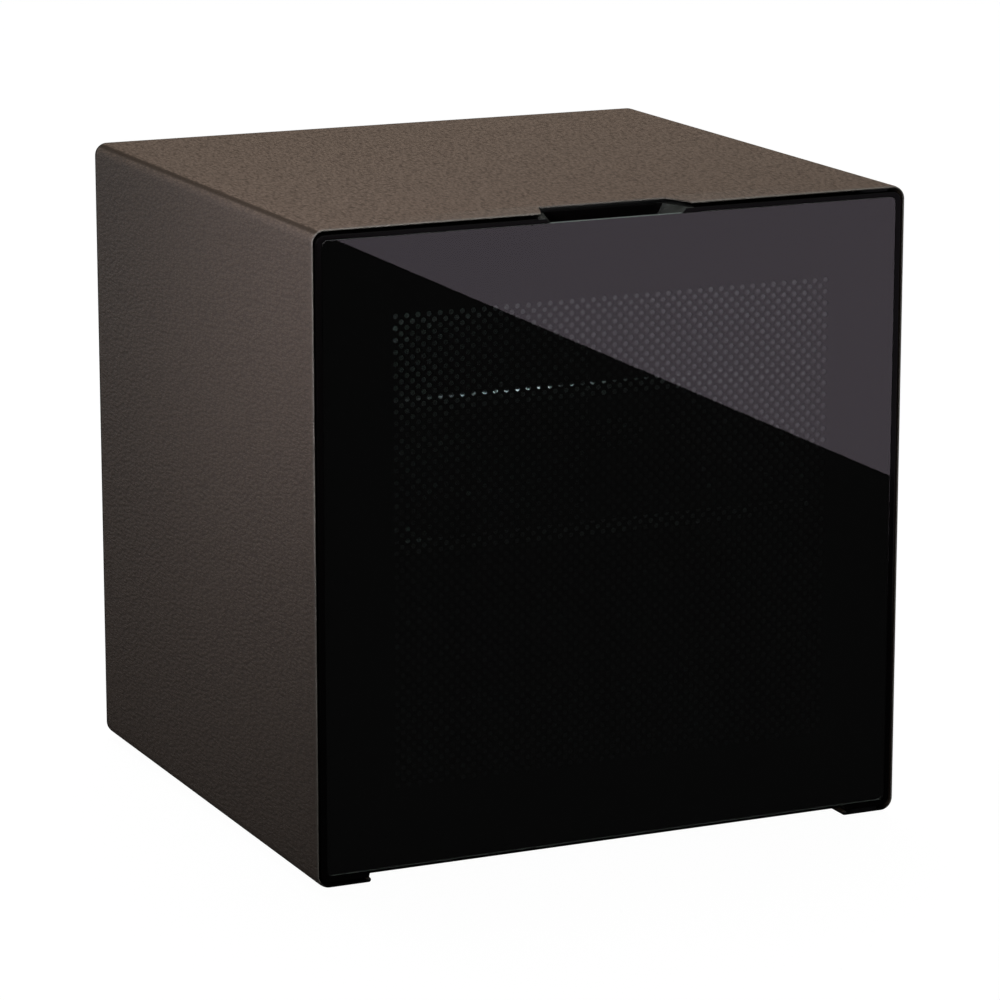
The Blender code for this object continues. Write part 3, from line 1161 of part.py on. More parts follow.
def main():
    for obj in list(bpy.data.objects):
        bpy.data.objects.remove(obj)
    bpy.context.scene.collection.children.link(COLLECTION)
    bpy.context.scene.collection.children.link(CUTTERS)
    make_sleeve()
    make_feet()
    make_tray()
    make_back_panel()
    make_carcass()
    make_hinges()
    make_door()
    make_shelves()
    make_controls()
    make_evaporator()
    make_compressor()
    make_condenser()
    make_inlet()
    hang_moving_pieces()


main()
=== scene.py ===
# %% [markdown]
# A countertop refrigerator, dressed in Blender.
#
# The construction model gives every piece its real size and place. This lesson gives each
# piece the surface of the real one. It starts by loading that model. Each of its pieces is a
# mesh in metres, in one shared frame: +Z is up, the door faces -Y, and z = 0 is the worktop.
# %% Load the construction model
import json
import math

import bpy
import bmesh
import numpy as np
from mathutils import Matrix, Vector


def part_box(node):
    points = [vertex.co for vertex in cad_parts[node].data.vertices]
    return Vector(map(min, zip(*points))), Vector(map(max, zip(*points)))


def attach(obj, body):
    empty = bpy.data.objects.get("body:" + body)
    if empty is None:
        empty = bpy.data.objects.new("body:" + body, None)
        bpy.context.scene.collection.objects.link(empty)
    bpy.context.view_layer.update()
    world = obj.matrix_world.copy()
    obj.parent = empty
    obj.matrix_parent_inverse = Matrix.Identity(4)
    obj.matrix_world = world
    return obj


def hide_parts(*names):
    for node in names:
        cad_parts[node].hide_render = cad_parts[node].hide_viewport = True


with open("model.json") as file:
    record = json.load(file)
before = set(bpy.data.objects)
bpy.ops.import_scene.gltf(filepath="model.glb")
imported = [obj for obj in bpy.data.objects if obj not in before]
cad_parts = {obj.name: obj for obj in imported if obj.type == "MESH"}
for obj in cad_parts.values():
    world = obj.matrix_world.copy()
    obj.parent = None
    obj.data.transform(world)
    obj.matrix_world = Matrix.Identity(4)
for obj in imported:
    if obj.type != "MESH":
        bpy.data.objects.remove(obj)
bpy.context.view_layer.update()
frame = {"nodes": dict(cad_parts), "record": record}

# %% [markdown]
# A few measures are used again and again, so they get names first. The sleeve's box gives the
# cabinet's outside. The rest are sizes of the real thing in metres: sheet steel, the rounding
# of the sleeve's long edges, and the cut that lets fingers in at the top of the door.
#
# They could be read off the meshes, but a named size is easier to follow and to change.
# %% Sizes of the cabinet
LOW_CORNER, HIGH_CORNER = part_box("outer_sleeve")
HALF = HIGH_CORNER[0]
FRONT, REAR = LOW_CORNER[1], HIGH_CORNER[1]
LOW, TOP = LOW_CORNER[2], HIGH_CORNER[2]
SHEET = 0.0012
CORNER_R = 0.0115
GRIP_FRONT, GRIP_BACK, GRIP_DEPTH = 0.140, 0.118, 0.0286
MM = 0.001
print(f"cabinet {2 * HALF:.3f} x {REAR - FRONT:.3f} x {TOP - LOW:.3f} m")

# %% [markdown]
# Colours are written as sRGB hex values, the way they look on a screen. Blender's shaders
# calculate with light, so one function turns each of the three numbers to linear.
#
# Materials are networks of nodes. One small function adds a node of any kind, sets its
# properties and fills its inputs, either with a value or with a link from another node.
# %% Colour and node helpers
def linear(colour):
    """sRGB hex to linear: c / 12.92 below 0.04045, else ((c + 0.055) / 1.055) to the power 2.4."""
    parts = np.array([int(colour[i:i + 2], 16) for i in (1, 3, 5)]) / 255
    low, high = parts / 12.92, ((parts + 0.055) / 1.055) ** 2.4
    return (*np.where(parts <= 0.04045, low, high).tolist(), 1.0)


def add(tree, kind, inputs=(), **settings):
    """A node of any kind, with its settings, and its inputs as values or links."""
    node = tree.nodes.new("ShaderNode" + kind)
    for name, value in settings.items():
        setattr(node, name, value)
    for name, value in dict(inputs).items():
        if isinstance(value, bpy.types.NodeSocket):
            tree.links.new(value, node.inputs[name])
        else:
            node.inputs[name].default_value = value
    return node


def start(name, colour, roughness, metallic=0.0, **sockets):
    """A Principled material and its node tree, shader and Object coordinates."""
    material = bpy.data.materials.new(name)
    material.use_nodes = True
    tree = material.node_tree
    shader = tree.nodes["Principled BSDF"]
    values = {"Base Color": linear(colour), "Roughness": roughness, "Metallic": metallic}
    values.update({key.replace("_", " "): value for key, value in sockets.items()})
    for key, value in values.items():
        shader.inputs[key].default_value = value
    return material, tree, shader, add(tree, "TexCoord").outputs["Object"]


def blend(tree, factor, first, second):
    """A colour that runs from the first to the second with a factor, as hex values or links."""
    first, second = (linear(end) if isinstance(end, str) else end for end in (first, second))
    mixed = add(tree, "Mix", {"Factor": factor, 6: first, 7: second}, data_type="RGBA")
    return mixed.outputs[2]


def ramp(tree, value, start, end, low=0.0, high=1.0, **settings):
    """low where the value is start, high where it is end, a straight run between, level beyond."""
    ends = {"Value": value, "From Min": start, "From Max": end, "To Min": low, "To Max": high}
    return add(tree, "MapRange", ends, **settings).outputs["Result"]


def maths(tree, operation, first, second=0.0, third=0.0):
    """One step of arithmetic on values or links."""
    return add(tree, "Math", {0: first, 1: second, 2: third}, operation=operation).outputs[0]


def axes(tree, vector):
    """The X, Y and Z of a vector."""
    return add(tree, "SeparateXYZ", {"Vector": vector}).outputs


def facing(tree):
    """The X, Y and Z of the way that the surface faces."""
    return axes(tree, add(tree, "TexCoord").outputs["Normal"])


def noise(tree, place, size, detail):
    """Noise between 0 and 1 with lumps of the given size in metres."""
    lumps = {"Vector": place, "Scale": 1 / size, "Detail": detail}
    return add(tree, "TexNoise", lumps).outputs["Fac"]


def vary(tree, shader, factor, dark, light):
    """The base colour runs from dark to light with a factor."""
    tree.links.new(blend(tree, factor, dark, light), shader.inputs["Base Color"])


def relief(tree, shader, height, depth):
    """Bump of a given depth in metres from a height between 0 and 1."""
    bump = add(tree, "Bump", {"Height": height, "Distance": depth, "Strength": 1.0})
    tree.links.new(bump.outputs["Normal"], shader.inputs["Normal"])


def spread(tree, shader, factor, low, high):
    """Roughness that runs from low to high with a factor."""
    tree.links.new(ramp(tree, factor, 0.0, 1.0, low, high), shader.inputs["Roughness"])


print("white is", linear("#FFFFFF"))

# %% [markdown]
# The sleeve is sheet steel with a textured polyester powder coat. The powder melts into a
# fine, leathery skin of pebbles, which breaks up every highlight into a dull sheen. It could be
# a scanned picture, but two patterns in the piece's own coordinates stay sharp from any side:
# soft cells for the pebbles and a finer noise for the grit on them.
#
# Real pebbles are under 1 mm wide, which is too fine to show. They are drawn 2.1 mm wide, and
# three times as long from front to rear, where the eye looks along the top at a flat angle.
# %% Pebbles and grit
PEBBLE = 2.1 * MM
GRIT = 0.7 * MM
DRAW = 3.0
PEBBLE_DEPTH = 0.35 * MM
PEBBLE_SHADE_RANGE = (0.55, 1.35)


def pebbled(tree, place):
    """Distance from the middle of the nearest cell, plus noise: the further out, the deeper."""
    drawn = add(tree, "Mapping", {"Vector": place, "Scale": (1, 1 / DRAW, 1)}).outputs["Vector"]
    cells = {"Vector": drawn, "Scale": 1 / PEBBLE, "Smoothness": 0.5}
    pebble = add(tree, "TexVoronoi", cells, feature="SMOOTH_F1").outputs["Distance"]
    return maths(tree, "ADD", pebble, noise(tree, drawn, GRIT, 1.0))


print(f"pebbles {PEBBLE / MM:.1f} mm wide and {PEBBLE * DRAW / MM:.1f} mm long")

# %% [markdown]
# The coat's colour differs from place to place, and much of it is painted light and shade. On
# the upright sides the pebbles' painted shade is mostly blended into an even colour. Where the
# sheet bends from the top to a side, a dark line is painted for the shade there. The cut front
# edge gets a painted highlight, but not beside the feet, where its lowest millimetres are painted
# black. The skirt next to the worktop and the rim at the rear get painted shade, black.
#
# All this could come from a picture. Here the way that the surface faces, and its place, tell
# one zone from the next, so the zones follow the sleeve when its size changes. Each pair of
# numbers gives where a zone begins and where it is full.
# %% Textured powder coat
UPRIGHT = (0.4, 1.0)                              # how far sideways the surface faces
EDGE_HIGHLIGHT_FACING = (-0.02, -0.6)                          # how far forwards it faces
BEND_SHADE_RANGE = (0.30, 0.385)                              # sideways times upwards squared
EDGE_SHADE_HEIGHTS = (LOW + 7 * MM, LOW + 5 * MM)          # heights
SKIRT_SHADE_HEIGHTS = (LOW + 3.5 * MM, LOW + 2 * MM)
REAR_RIM_SHADE_DEPTHS = (REAR - 4.5 * MM, REAR - 3.5 * MM)     # depths
PAINTED_EVEN_SIDE = 0.65
TOP_SHEEN, SIDE_SHEEN, NO_SHEEN = 0.25, 0.20, 0.02


def textured_powder_coat():
    material, tree, shader, place = start("brown textured powder coat", "#574A40", 0.55)
    face, at, skin = facing(tree), axes(tree, place), pebbled(tree, place)
    # painted light and shade on the pebbles: paler crests, darker hollows
    coat = blend(tree, ramp(tree, skin, *PEBBLE_SHADE_RANGE), "#726357", "#40362E")
    sideways = maths(tree, "ABSOLUTE", face["X"])
    # painted: on the upright sides the pebbles' painted shade is blended into an even colour
    coat = blend(tree, ramp(tree, sideways, *UPRIGHT, high=PAINTED_EVEN_SIDE), coat, "#574D46")
    # painted highlight on the cut front edge, painted black shade in its lowest millimetres
    edge = blend(tree, ramp(tree, at["Z"], *EDGE_SHADE_HEIGHTS), "#7C7871", "#0A0A09")
    coat = blend(tree, ramp(tree, face["Y"], *EDGE_HIGHLIGHT_FACING), coat, edge)
    # painted shade: a dark line along the bends between the top and the sides
    bend = maths(tree, "MULTIPLY", sideways, maths(tree, "POWER", face["Z"], 2.0))
    painted_bend_shade = ramp(tree, bend, *BEND_SHADE_RANGE, interpolation_type="SMOOTHSTEP")
    coat = blend(tree, painted_bend_shade, coat, "#332A22")
    # painted shade: the skirt by the worktop and the rim at the rear are painted black
    skirt_shade, rim = ramp(tree, at["Z"], *SKIRT_SHADE_HEIGHTS), ramp(tree, at["Y"], *REAR_RIM_SHADE_DEPTHS)
    dark = maths(tree, "MAXIMUM", skirt_shade, rim)
    vary(tree, shader, dark, coat, "#0A0A09")
    sheen = ramp(tree, sideways, *UPRIGHT, TOP_SHEEN, SIDE_SHEEN)
    tree.links.new(ramp(tree, dark, 0.0, 1.0, sheen, NO_SHEEN), shader.inputs["Specular IOR Level"])
    relief(tree, shader, skin, -PEBBLE_DEPTH)
    return material


# %% [markdown]
# The door's frame is injection-moulded ABS, dense black and polished. The real one shows almost
# no reflection beside the glass, so its sheen is set low. A slow noise with a very small height
# gives the waviness of such mouldings, and a finer one the film of dust that dulls them. The
# upward faces at the two ends of the finger pocket get a painted grey highlight, for the light
# that they would mirror, so that the grip can be seen.
#
# The plastics inside have the fine grain of a spark-eroded mould. The real grain is about
# 0.1 mm and wouldn't show, so it is drawn nine times as coarse.
# %% Gloss and satin plastics
GLOSS_SHEEN = 0.05
WAVE, WAVE_DEPTH = 26 * MM, 0.02 * MM
DUST = 3 * MM
POCKET_END, POCKET_SLANT = 0.062, 0.010
HIGHLIGHT_FACES_UP = 0.3
SPARK, SPARK_DEPTH = 0.9 * MM, 0.03 * MM
SHADE = 60 * MM


def gloss_abs():
    material, tree, shader, place = start("black moulded ABS", "#080707", 0.09)
    shader.inputs["Specular IOR Level"].default_value = GLOSS_SHEEN
    across = maths(tree, "ABSOLUTE", axes(tree, place)["X"])
    # painted highlight: the upward faces at the finger pocket's two ends are grey
    pocket_end_highlight_zone = maths(tree, "COMPARE", across, POCKET_END, POCKET_SLANT)
    upward = maths(tree, "GREATER_THAN", facing(tree)["Z"], HIGHLIGHT_FACES_UP)
    vary(tree, shader, maths(tree, "MULTIPLY", upward, pocket_end_highlight_zone), "#080707", "#3C3E3B")
    relief(tree, shader, noise(tree, place, WAVE, 1.0), WAVE_DEPTH)
    spread(tree, shader, noise(tree, place, DUST, 4.0), 0.07, 0.12)
    return material


def moulded_plastic(name, dark, light, roughness):
    """A fine even grain over a colour that drifts a little."""
    material, tree, shader, place = start(name, light, roughness)
    grain = noise(tree, place, SPARK, 2.0)
    vary(tree, shader, noise(tree, place, SHADE, 2.0), dark, light)
    relief(tree, shader, grain, SPARK_DEPTH)
    spread(tree, shader, grain, roughness - 0.06, roughness + 0.06)
    return material


# %% [markdown]
# Sheet metals are told apart by their skin. Galvanised steel has spangles, flat zinc crystals
# of 10 to 20 mm that each catch the light differently. Rolled or brushed aluminium has fine
# lines along its length. Painted steel has the slight orange peel of a thick coat. The hinge
# plates' front edges lie in the gap over the door, and are matt so that the gap stays black.
#
# A picture of each metal would fit one piece only. A pattern in real millimetres fits them all.
# %% Metals
SPANGLE = 14 * MM
LINE, LINE_LENGTH, LINE_DEPTH = 0.5 * MM, 40, 0.02 * MM
PEEL, PEEL_DEPTH = 2.2 * MM, 0.05 * MM
GRIME = 35 * MM
MATT_FRONT = (FRONT + 12 * MM, FRONT + 6 * MM)
TARNISH = 12 * MM


def galvanised_steel():
    material, tree, shader, place = start("hot-dip galvanised steel", "#A3A6A8", 0.42, 1.0)
    cells = add(tree, "TexVoronoi", {"Vector": place, "Scale": 1 / SPANGLE}).outputs["Color"]
    spangle = add(tree, "SeparateColor", {"Color": cells}).outputs["Red"]
    vary(tree, shader, spangle, "#8E9193", "#B4B7B9")
    spread(tree, shader, spangle, 0.34, 0.52)
    return material


def brushed_metal(name, dark, light, roughness, along=0):
    """Fine lines along one axis: noise drawn out along it by a factor."""
    material, tree, shader, place = start(name, light, roughness, 1.0)
    squeeze = [1 / LINE] * 3
    squeeze[along] /= LINE_LENGTH
    drawn = add(tree, "Mapping", {"Vector": place, "Scale": squeeze}).outputs["Vector"]
    lines = noise(tree, drawn, 1.0, 3.0)
    vary(tree, shader, lines, dark, light)
    spread(tree, shader, lines, roughness - 0.08, roughness + 0.10)
    relief(tree, shader, lines, LINE_DEPTH)
    return material


def painted_steel():
    material, tree, shader, place = start("black stove enamelled steel", "#161617", 0.38)
    sheen = ramp(tree, axes(tree, place)["Y"], *MATT_FRONT, 0.5, 0.04)
    tree.links.new(sheen, shader.inputs["Specular IOR Level"])
    grime = noise(tree, place, GRIME, 5.0)
    relief(tree, shader, noise(tree, place, PEEL, 2.0), PEEL_DEPTH)
    vary(tree, shader, grime, "#121213", "#1E1E1F")
    spread(tree, shader, grime, 0.30, 0.48)
    return material


def copper_pipe():
    material, tree, shader, place = start("drawn copper pipe", "#B4714E", 0.30, 1.0)
    tarnish = noise(tree, place, TARNISH, 5.0)
    vary(tree, shader, tarnish, "#8A5138", "#C58460")
    spread(tree, shader, tarnish, 0.22, 0.42)
    return material


# %% [markdown]
# Glass is clear and polished on its flat sides. The door's panes are slightly smoked, so that
# the inside stays dim. Their top edge gets a painted highlight: where the glass faces up it is
# grey and lets no light through, which draws a thin line of light across the finger pocket.
#
# The print behind the front pane is a ceramic enamel, fired on: dense black and without gloss
# of its own. Rubber has a bloom of lighter patches, and the foam shows its cells.
# %% Glass, enamel, rubber, foam and lamp
FILM, FILM_BLUR = 90 * MM, 0.004
TOP_HIGHLIGHT_FACING = (0.97, 0.90)
BLOOM, BLOOM_DEPTH = 6 * MM, 0.03 * MM
FOAM_CELL, FOAM_DEPTH = 1.6 * MM, 0.3 * MM
FROST, FROST_DEPTH = 1.2 * MM, 0.05 * MM
ENAMEL_GRAIN = 0.8 * MM
TRACKS = 8 * MM
LAMP_GLOW = 60.0


def float_glass(name, colour, painted_top_highlight=False):
    material, tree, shader, place = start(name, colour, 0.0, Transmission_Weight=1.0, IOR=1.5)
    spread(tree, shader, noise(tree, place, FILM, 3.0), 0.0, FILM_BLUR)
    if painted_top_highlight:
        # painted highlight: grey, and not clear, where the glass faces up
        clear = ramp(tree, facing(tree)["Z"], *TOP_HIGHLIGHT_FACING)
        tree.links.new(clear, shader.inputs["Transmission Weight"])
        vary(tree, shader, clear, "#7E8884", colour)
    return material


def fired_enamel():
    material, tree, shader, place = start("black ceramic enamel print", "#050505", 0.5)
    shader.inputs["Specular IOR Level"].default_value = 0.0
    vary(tree, shader, noise(tree, place, ENAMEL_GRAIN, 2.0), "#040404", "#080808")
    return material


def rubber(name, dark, light, roughness):
    material, tree, shader, place = start(name, light, roughness)
    bloom = noise(tree, place, BLOOM, 5.0)
    vary(tree, shader, bloom, dark, light)
    spread(tree, shader, bloom, roughness - 0.08, roughness + 0.08)
    relief(tree, shader, bloom, BLOOM_DEPTH)
    return material


def rigid_foam():
    material, tree, shader, place = start("rigid polyurethane foam", "#D9BC78", 0.9)
    cells = add(tree, "TexVoronoi", {"Vector": place, "Scale": 1 / FOAM_CELL}).outputs["Distance"]
    vary(tree, shader, cells, "#B8964F", "#E2C98C")
    relief(tree, shader, cells, FOAM_DEPTH)
    return material


def frosted_lamp():
    material, tree, shader, place = start("frosted lamp cover, lit", "#E8ECEF", 0.45)
    shader.inputs["Emission Color"].default_value = linear("#F2F5FF")
    shader.inputs["Emission Strength"].default_value = LAMP_GLOW
    relief(tree, shader, noise(tree, place, FROST, 2.0), FROST_DEPTH)
    return material


def circuit_board():
    material, tree, shader, place = start("lacquered circuit board", "#0F4A2B", 0.35)
    board = {"Color1": linear("#0F4A2B"), "Color2": linear("#0C3D24"), "Mortar": linear("#8C7B3E")}
    tracks = add(tree, "TexBrick", {"Vector": place, "Scale": 1 / TRACKS, **board})
    tree.links.new(tracks.outputs["Color"], shader.inputs["Base Color"])
    return material


# %% [markdown]
# Each piece takes a material through its slot in the record. One table joins the two, so the
# same copper goes on every pipe.
# %% One material for each slot
FINISH = {
    "brown_coated_steel": textured_powder_coat(),
    "galvanised_steel": galvanised_steel(),
    "black_steel": painted_steel(),
    "insulating_foam": rigid_foam(),
    "dark_liner_plastic":
        moulded_plastic("charcoal thermoformed polystyrene", "#1D1D1F", "#26262A", 0.46),
    "black_gloss_plastic": gloss_abs(),
    "black_rubber": rubber("black EPDM rubber", "#141414", "#202020", 0.72),
    "tinted_glass": float_glass("smoked float glass", "#B2B9B5", painted_top_highlight=True),
    "shelf_glass": float_glass("toughened shelf glass", "#DCEBE4"),
    "printed_layer": fired_enamel(),
    "aluminium": brushed_metal("anodised aluminium", "#A9ABAD", "#D2D4D6", 0.34),
    "zinc_plated_steel": brushed_metal("zinc plated steel", "#9CA1A8", "#C3C8CF", 0.28, along=2),
    "pale_plastic": moulded_plastic("acetal bearing plastic", "#CFCABB", "#DEDACC", 0.40),
    "copper": copper_pipe(),
    "lamp_plastic": frosted_lamp(),
    "circuit_board": circuit_board(),
    "grey_plastic": moulded_plastic("grey moulded ABS", "#6E7072", "#84868A", 0.45),
}
SLOT_OF = {part["node"]: part["material_slot"] for part in frame["record"]["subparts"]}
print(len(FINISH), "materials for", len(SLOT_OF), "pieces")

# %% [markdown]
# New pieces are surfaces worked out with numpy. A shape is an array of points and an array of
# faces that name four points each. Both go into the mesh as whole arrays, which is quick also
# for a hundred thousand points. Odd faces, such as a flat end, come as separate lists.
# %% From arrays to a piece
BODIES = frame["record"]["behaviour"]["bodies"]
BODY_OF = {node: body for body, nodes in BODIES.items() for node in nodes}


def mesh_from(name, points, quads, caps=()):
    """A mesh from points, four-cornered faces and, where needed, faces with more corners."""
    quads = np.asarray(quads, np.int32)
    caps = [np.asarray(cap, np.int32) for cap in caps]
    loops = np.concatenate([quads.ravel(), *caps])
    sizes = np.concatenate([np.full(len(quads), 4), [len(cap) for cap in caps]]).astype(np.int32)
    starts = np.concatenate([[0], np.cumsum(sizes)[:-1]]).astype(np.int32)
    mesh = bpy.data.meshes.new(name)
    mesh.vertices.add(len(points))
    mesh.vertices.foreach_set("co", np.asarray(points, np.float32).ravel())
    mesh.loops.add(len(loops))
    mesh.loops.foreach_set("vertex_index", loops)
    mesh.polygons.add(len(sizes))
    mesh.polygons.foreach_set("loop_start", starts)
    mesh.update(calc_edges=True)
    mesh.validate()
    return mesh


def piece(name, mesh, node, angle=30):
    """A finished piece: smooth but for sharp edges, in its node's slot and on its body."""
    obj = bpy.data.objects.new(name, mesh)
    bpy.context.scene.collection.objects.link(obj)
    mesh.materials.clear()
    mesh.materials.append(FINISH[SLOT_OF[node]])
    mesh.shade_smooth()
    mesh.set_sharp_from_angle(angle=math.radians(angle))
    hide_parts(node)
    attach(obj, BODY_OF[node])
    print(f"{name}: {len(mesh.vertices)} points, {len(mesh.polygons)} faces")
    return obj


def grid_faces(rows, columns, closed=False):
    """Faces between neighbouring rows and columns of a grid of points, row by row."""
    index = np.arange(rows * columns).reshape(rows, columns)
    if closed:
        index = np.concatenate([index, index[:, :1]], axis=1)
    corners = [index[:-1, :-1], index[:-1, 1:], index[1:, 1:], index[1:, :-1]]
    return np.stack(corners, -1).reshape(-1, 4)


def arc(u, v, radius, start, end, steps):
    """Points (u + r cos a, v + r sin a) for angles a from start to end, in degrees."""
    angle = np.radians(np.linspace(start, end, steps + 1))
    return np.stack([u + radius * np.cos(angle), v + radius * np.sin(angle)], 1)


def round_rect(half, low, high, radius, steps=10):
    """A rectangle with round corners about x = 0: four quarter arcs, against the clock."""
    return np.concatenate([arc(half - radius, low + radius, radius, -90, 0, steps),
                           arc(half - radius, high - radius, radius, 0, 90, steps),
                           arc(radius - half, high - radius, radius, 90, 180, steps),
                           arc(radius - half, low + radius, radius, 180, 270, steps)])


# %% [markdown]
# The sleeve is one sheet bent round the cabinet. Seen from the front it is a line: in from
# the left underside, down to a corner foot, round the side and top and back. That line is
# carried from front to rear, which makes a grid of points. The grip is a gap in the grid, and
# its slanted ends come from moving two columns of the grid inwards behind the front edge.
#
# Solidify then gives the sheet its thickness, and a small Bevel its broken edges: without it
# the front edge wouldn't catch light. The thin line of light that it shows is partly a painted
# highlight in the coat. Where the sheet ends under the door it is rolled into a round toe, a rod
# with domed ends.
# %% Outer sleeve
EDGE_RISE, CORNER_FOOT, RISE_RUN, LANDING = 0.008, 0.048, 0.006, 0.008
DOOR_CUT_Y, DOOR_CUT_Z = -0.2175, 0.0132
TOE_X, TOE_R = HALF - 0.0474, 0.0021
ROLL_DEPTH, ROLL_IN = 0.006, 0.0009
BROKEN_EDGE = 0.3 * MM
TOE_SIDES, TOE_SETBACK, TOE_LIFT = 24, 0.3 * MM, 0.1 * MM


def sleeve_line(inset):
    """Half of the sleeve's front line, from the underside's lip to the grip, moved inwards."""
    half, low, top, radius = HALF - inset, LOW + inset, TOP - inset, CORNER_R - inset
    foot, raised, straight = HALF - CORNER_FOOT, low + EDGE_RISE, HALF - CORNER_R
    part = np.linspace(0, 1, 6)
    step = EDGE_RISE * (1 - np.cos(np.pi * part)) / 2
    rise = np.stack([foot - RISE_RUN * (1 - part), raised - step], 1)
    return np.concatenate([[(foot - RISE_RUN - LANDING, raised)], rise, [(TOE_X, low)],
                           arc(straight, LOW + CORNER_R, radius, -90, 0, 12),
                           [(half, LOW + 3 * CORNER_R)], [(half, TOP - 3 * CORNER_R)],
                           arc(straight, TOP - CORNER_R, radius, 0, 90, 12),
                           [(straight - CORNER_R, top), (GRIP_FRONT / 2, top)]])


def make_sleeve():
    """The front line carried from front to rear, inset by 1 - sin a of the roll at both ends."""
    turn = np.radians(np.linspace(0, 90, 6))
    back = ROLL_DEPTH * (1 - np.cos(turn))
    inset = ROLL_IN * (1 - np.sin(turn))
    between = np.array([FRONT + 1.3 * ROLL_DEPTH, FRONT + GRIP_DEPTH, DOOR_CUT_Y, 0.0,
                        REAR - 1.3 * ROLL_DEPTH])
    depth = np.concatenate([FRONT + back, between, (REAR - back)[::-1]])
    inset = np.concatenate([inset, 0 * between, inset[::-1]])
    lines = np.array([sleeve_line(step) for step in inset])
    lines = np.concatenate([lines, lines[:, ::-1] * (-1, 1)], 1)
    depths = np.repeat(depth[:, None], lines.shape[1], 1)
    points = np.stack([lines[:, :, 0], depths, lines[:, :, 1]], -1)
    slant = np.clip((depth - FRONT) / GRIP_DEPTH, 0, 1) * (GRIP_FRONT - GRIP_BACK) / 2
    grip_edge = lines.shape[1] // 2
    points[:, grip_edge - 1, 0] = GRIP_FRONT / 2 - slant
    points[:, grip_edge, 0] = slant - GRIP_FRONT / 2
    faces = grid_faces(*points.shape[:2])
    points = points.reshape(-1, 3)
    middle = points[faces].mean(1)
    in_grip = (np.abs(middle[:, 0]) < GRIP_BACK / 4) & (middle[:, 1] < FRONT + GRIP_DEPTH)
    in_grip &= middle[:, 2] > TOP - 2 * SHEET
    under_door = (middle[:, 1] < DOOR_CUT_Y) & (middle[:, 2] < DOOR_CUT_Z)
    under_door &= np.abs(middle[:, 0]) < TOE_X
    mesh = mesh_from("sleeve_skin", points, faces[~in_grip & ~under_door][:, ::-1])
    sleeve = piece("sleeve_skin", mesh, "outer_sleeve")
    wall = sleeve.modifiers.new("sheet steel", "SOLIDIFY")
    wall.thickness, wall.offset, wall.use_even_offset = SHEET, -1, True
    edge = sleeve.modifiers.new("broken edges", "BEVEL")
    edge.width, edge.segments = BROKEN_EDGE, 2
    edge.limit_method, edge.angle_limit = "ANGLE", math.radians(50)


def make_toe(side):
    """Rings of radius r sin a along the rod, with a from 4 to 90 degrees at each end."""
    turn = np.radians(np.linspace(4, 90, 6))
    radius = TOE_R * np.concatenate([np.sin(turn), np.sin(turn)[::-1]])
    end = TOE_R * (1 - np.cos(turn))
    along = np.concatenate([FRONT + TOE_SETBACK + end, (DOOR_CUT_Y + SHEET - end)[::-1]])
    spin = np.linspace(0, 2 * np.pi, TOE_SIDES + 1)[:-1]
    points = np.stack([side * TOE_X + radius[:, None] * np.cos(spin),
                       np.repeat(along[:, None], TOE_SIDES, 1),
                       LOW + TOE_R + TOE_LIFT + radius[:, None] * np.sin(spin)], -1)
    faces = grid_faces(*points.shape[:2], closed=True)[:, ::-1]
    ring = np.arange(TOE_SIDES)
    caps = [ring, ring[::-1] + TOE_SIDES * (len(radius) - 1)]
    name = "sleeve_toe_left" if side < 0 else "sleeve_toe_right"
    mesh = mesh_from(name, points.reshape(-1, 3), faces, caps)
    piece(name, mesh, "outer_sleeve", angle=40)


make_sleeve()
for side in (-1, 1):
    make_toe(side)

# %% [markdown]
# The front pane is a slab of float glass with ground and polished edges. Its outline is a
# rectangle with round corners, repeated as rings that go out over the front edge and in over
# the rear one. It is thick enough to hold the print, as the fired enamel is part of the glass:
# with air between them, every reflection would show twice.
# %% Front pane
PANE_LOW, PANE_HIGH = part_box("door_glass_outer")
PRINT_LOW, PRINT_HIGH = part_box("printed_screen")
ARRIS = 0.25 * MM
PANE_R = 5 * MM
PRINT_COVER = 0.1 * MM


def make_pane():
    """Rings of the outline, inset by 1 - sin a and set back by 1 - cos a of the arris."""
    front, back = PANE_LOW[1], PRINT_HIGH[1] + PRINT_COVER
    turn = np.radians(np.linspace(0, 90, 5))
    inset = ARRIS * np.concatenate([[1.8], 1 - np.sin(turn), (1 - np.sin(turn))[::-1], [1.8]])
    level = np.concatenate([[front], front + ARRIS * (1 - np.cos(turn)),
                            (back - ARRIS * (1 - np.cos(turn)))[::-1], [back]])
    lines = np.array([round_rect(PANE_HIGH[0] - step, PANE_LOW[2] + step, PANE_HIGH[2] - step,
                                 PANE_R - step) for step in inset])
    levels = np.repeat(level[:, None], lines.shape[1], 1)
    points = np.stack([lines[:, :, 0], levels, lines[:, :, 1]], -1)
    count = points.shape[1]
    faces = grid_faces(len(points), count, closed=True)[:, ::-1]
    front_cap, back_cap = np.arange(count), np.arange(count)[::-1] + (len(points) - 1) * count
    mesh = mesh_from("front_pane", points.reshape(-1, 3), faces, [front_cap, back_cap])
    piece("front_pane", mesh, "door_glass_outer", angle=25)


make_pane()

# %% [markdown]
# The window is a field of clear dots left open in the black print. They lie in rows 5 mm
# apart, each row shifted by half a step, which is a square lattice turned by 45 degrees. Each
# dot is about 4.7 mm wide.
#
# A texture could paint the dots, but a real perforated layer shows the shelves behind it and
# shifts against them as the eye moves. One tile is a diamond with a round hole, eight faces.
# Copies of it are added as one array, and points that fall together are merged. Round the
# field the print is one sheet, which ends 0.6 mm from the pane's edge: where it ended further
# in, the clear glass round it would show as a pale band.
# %% Dotted print
DOT_STEP = 10 * MM
DOT_R = 2.35 * MM
DOT_COUNT = 41
WINDOW_MIDDLE = (0.0, 0.285)
PRINT_EDGE = 0.6 * MM
SIDES = 8
RIM_STEPS = 8
MERGE = 0.01 * MM


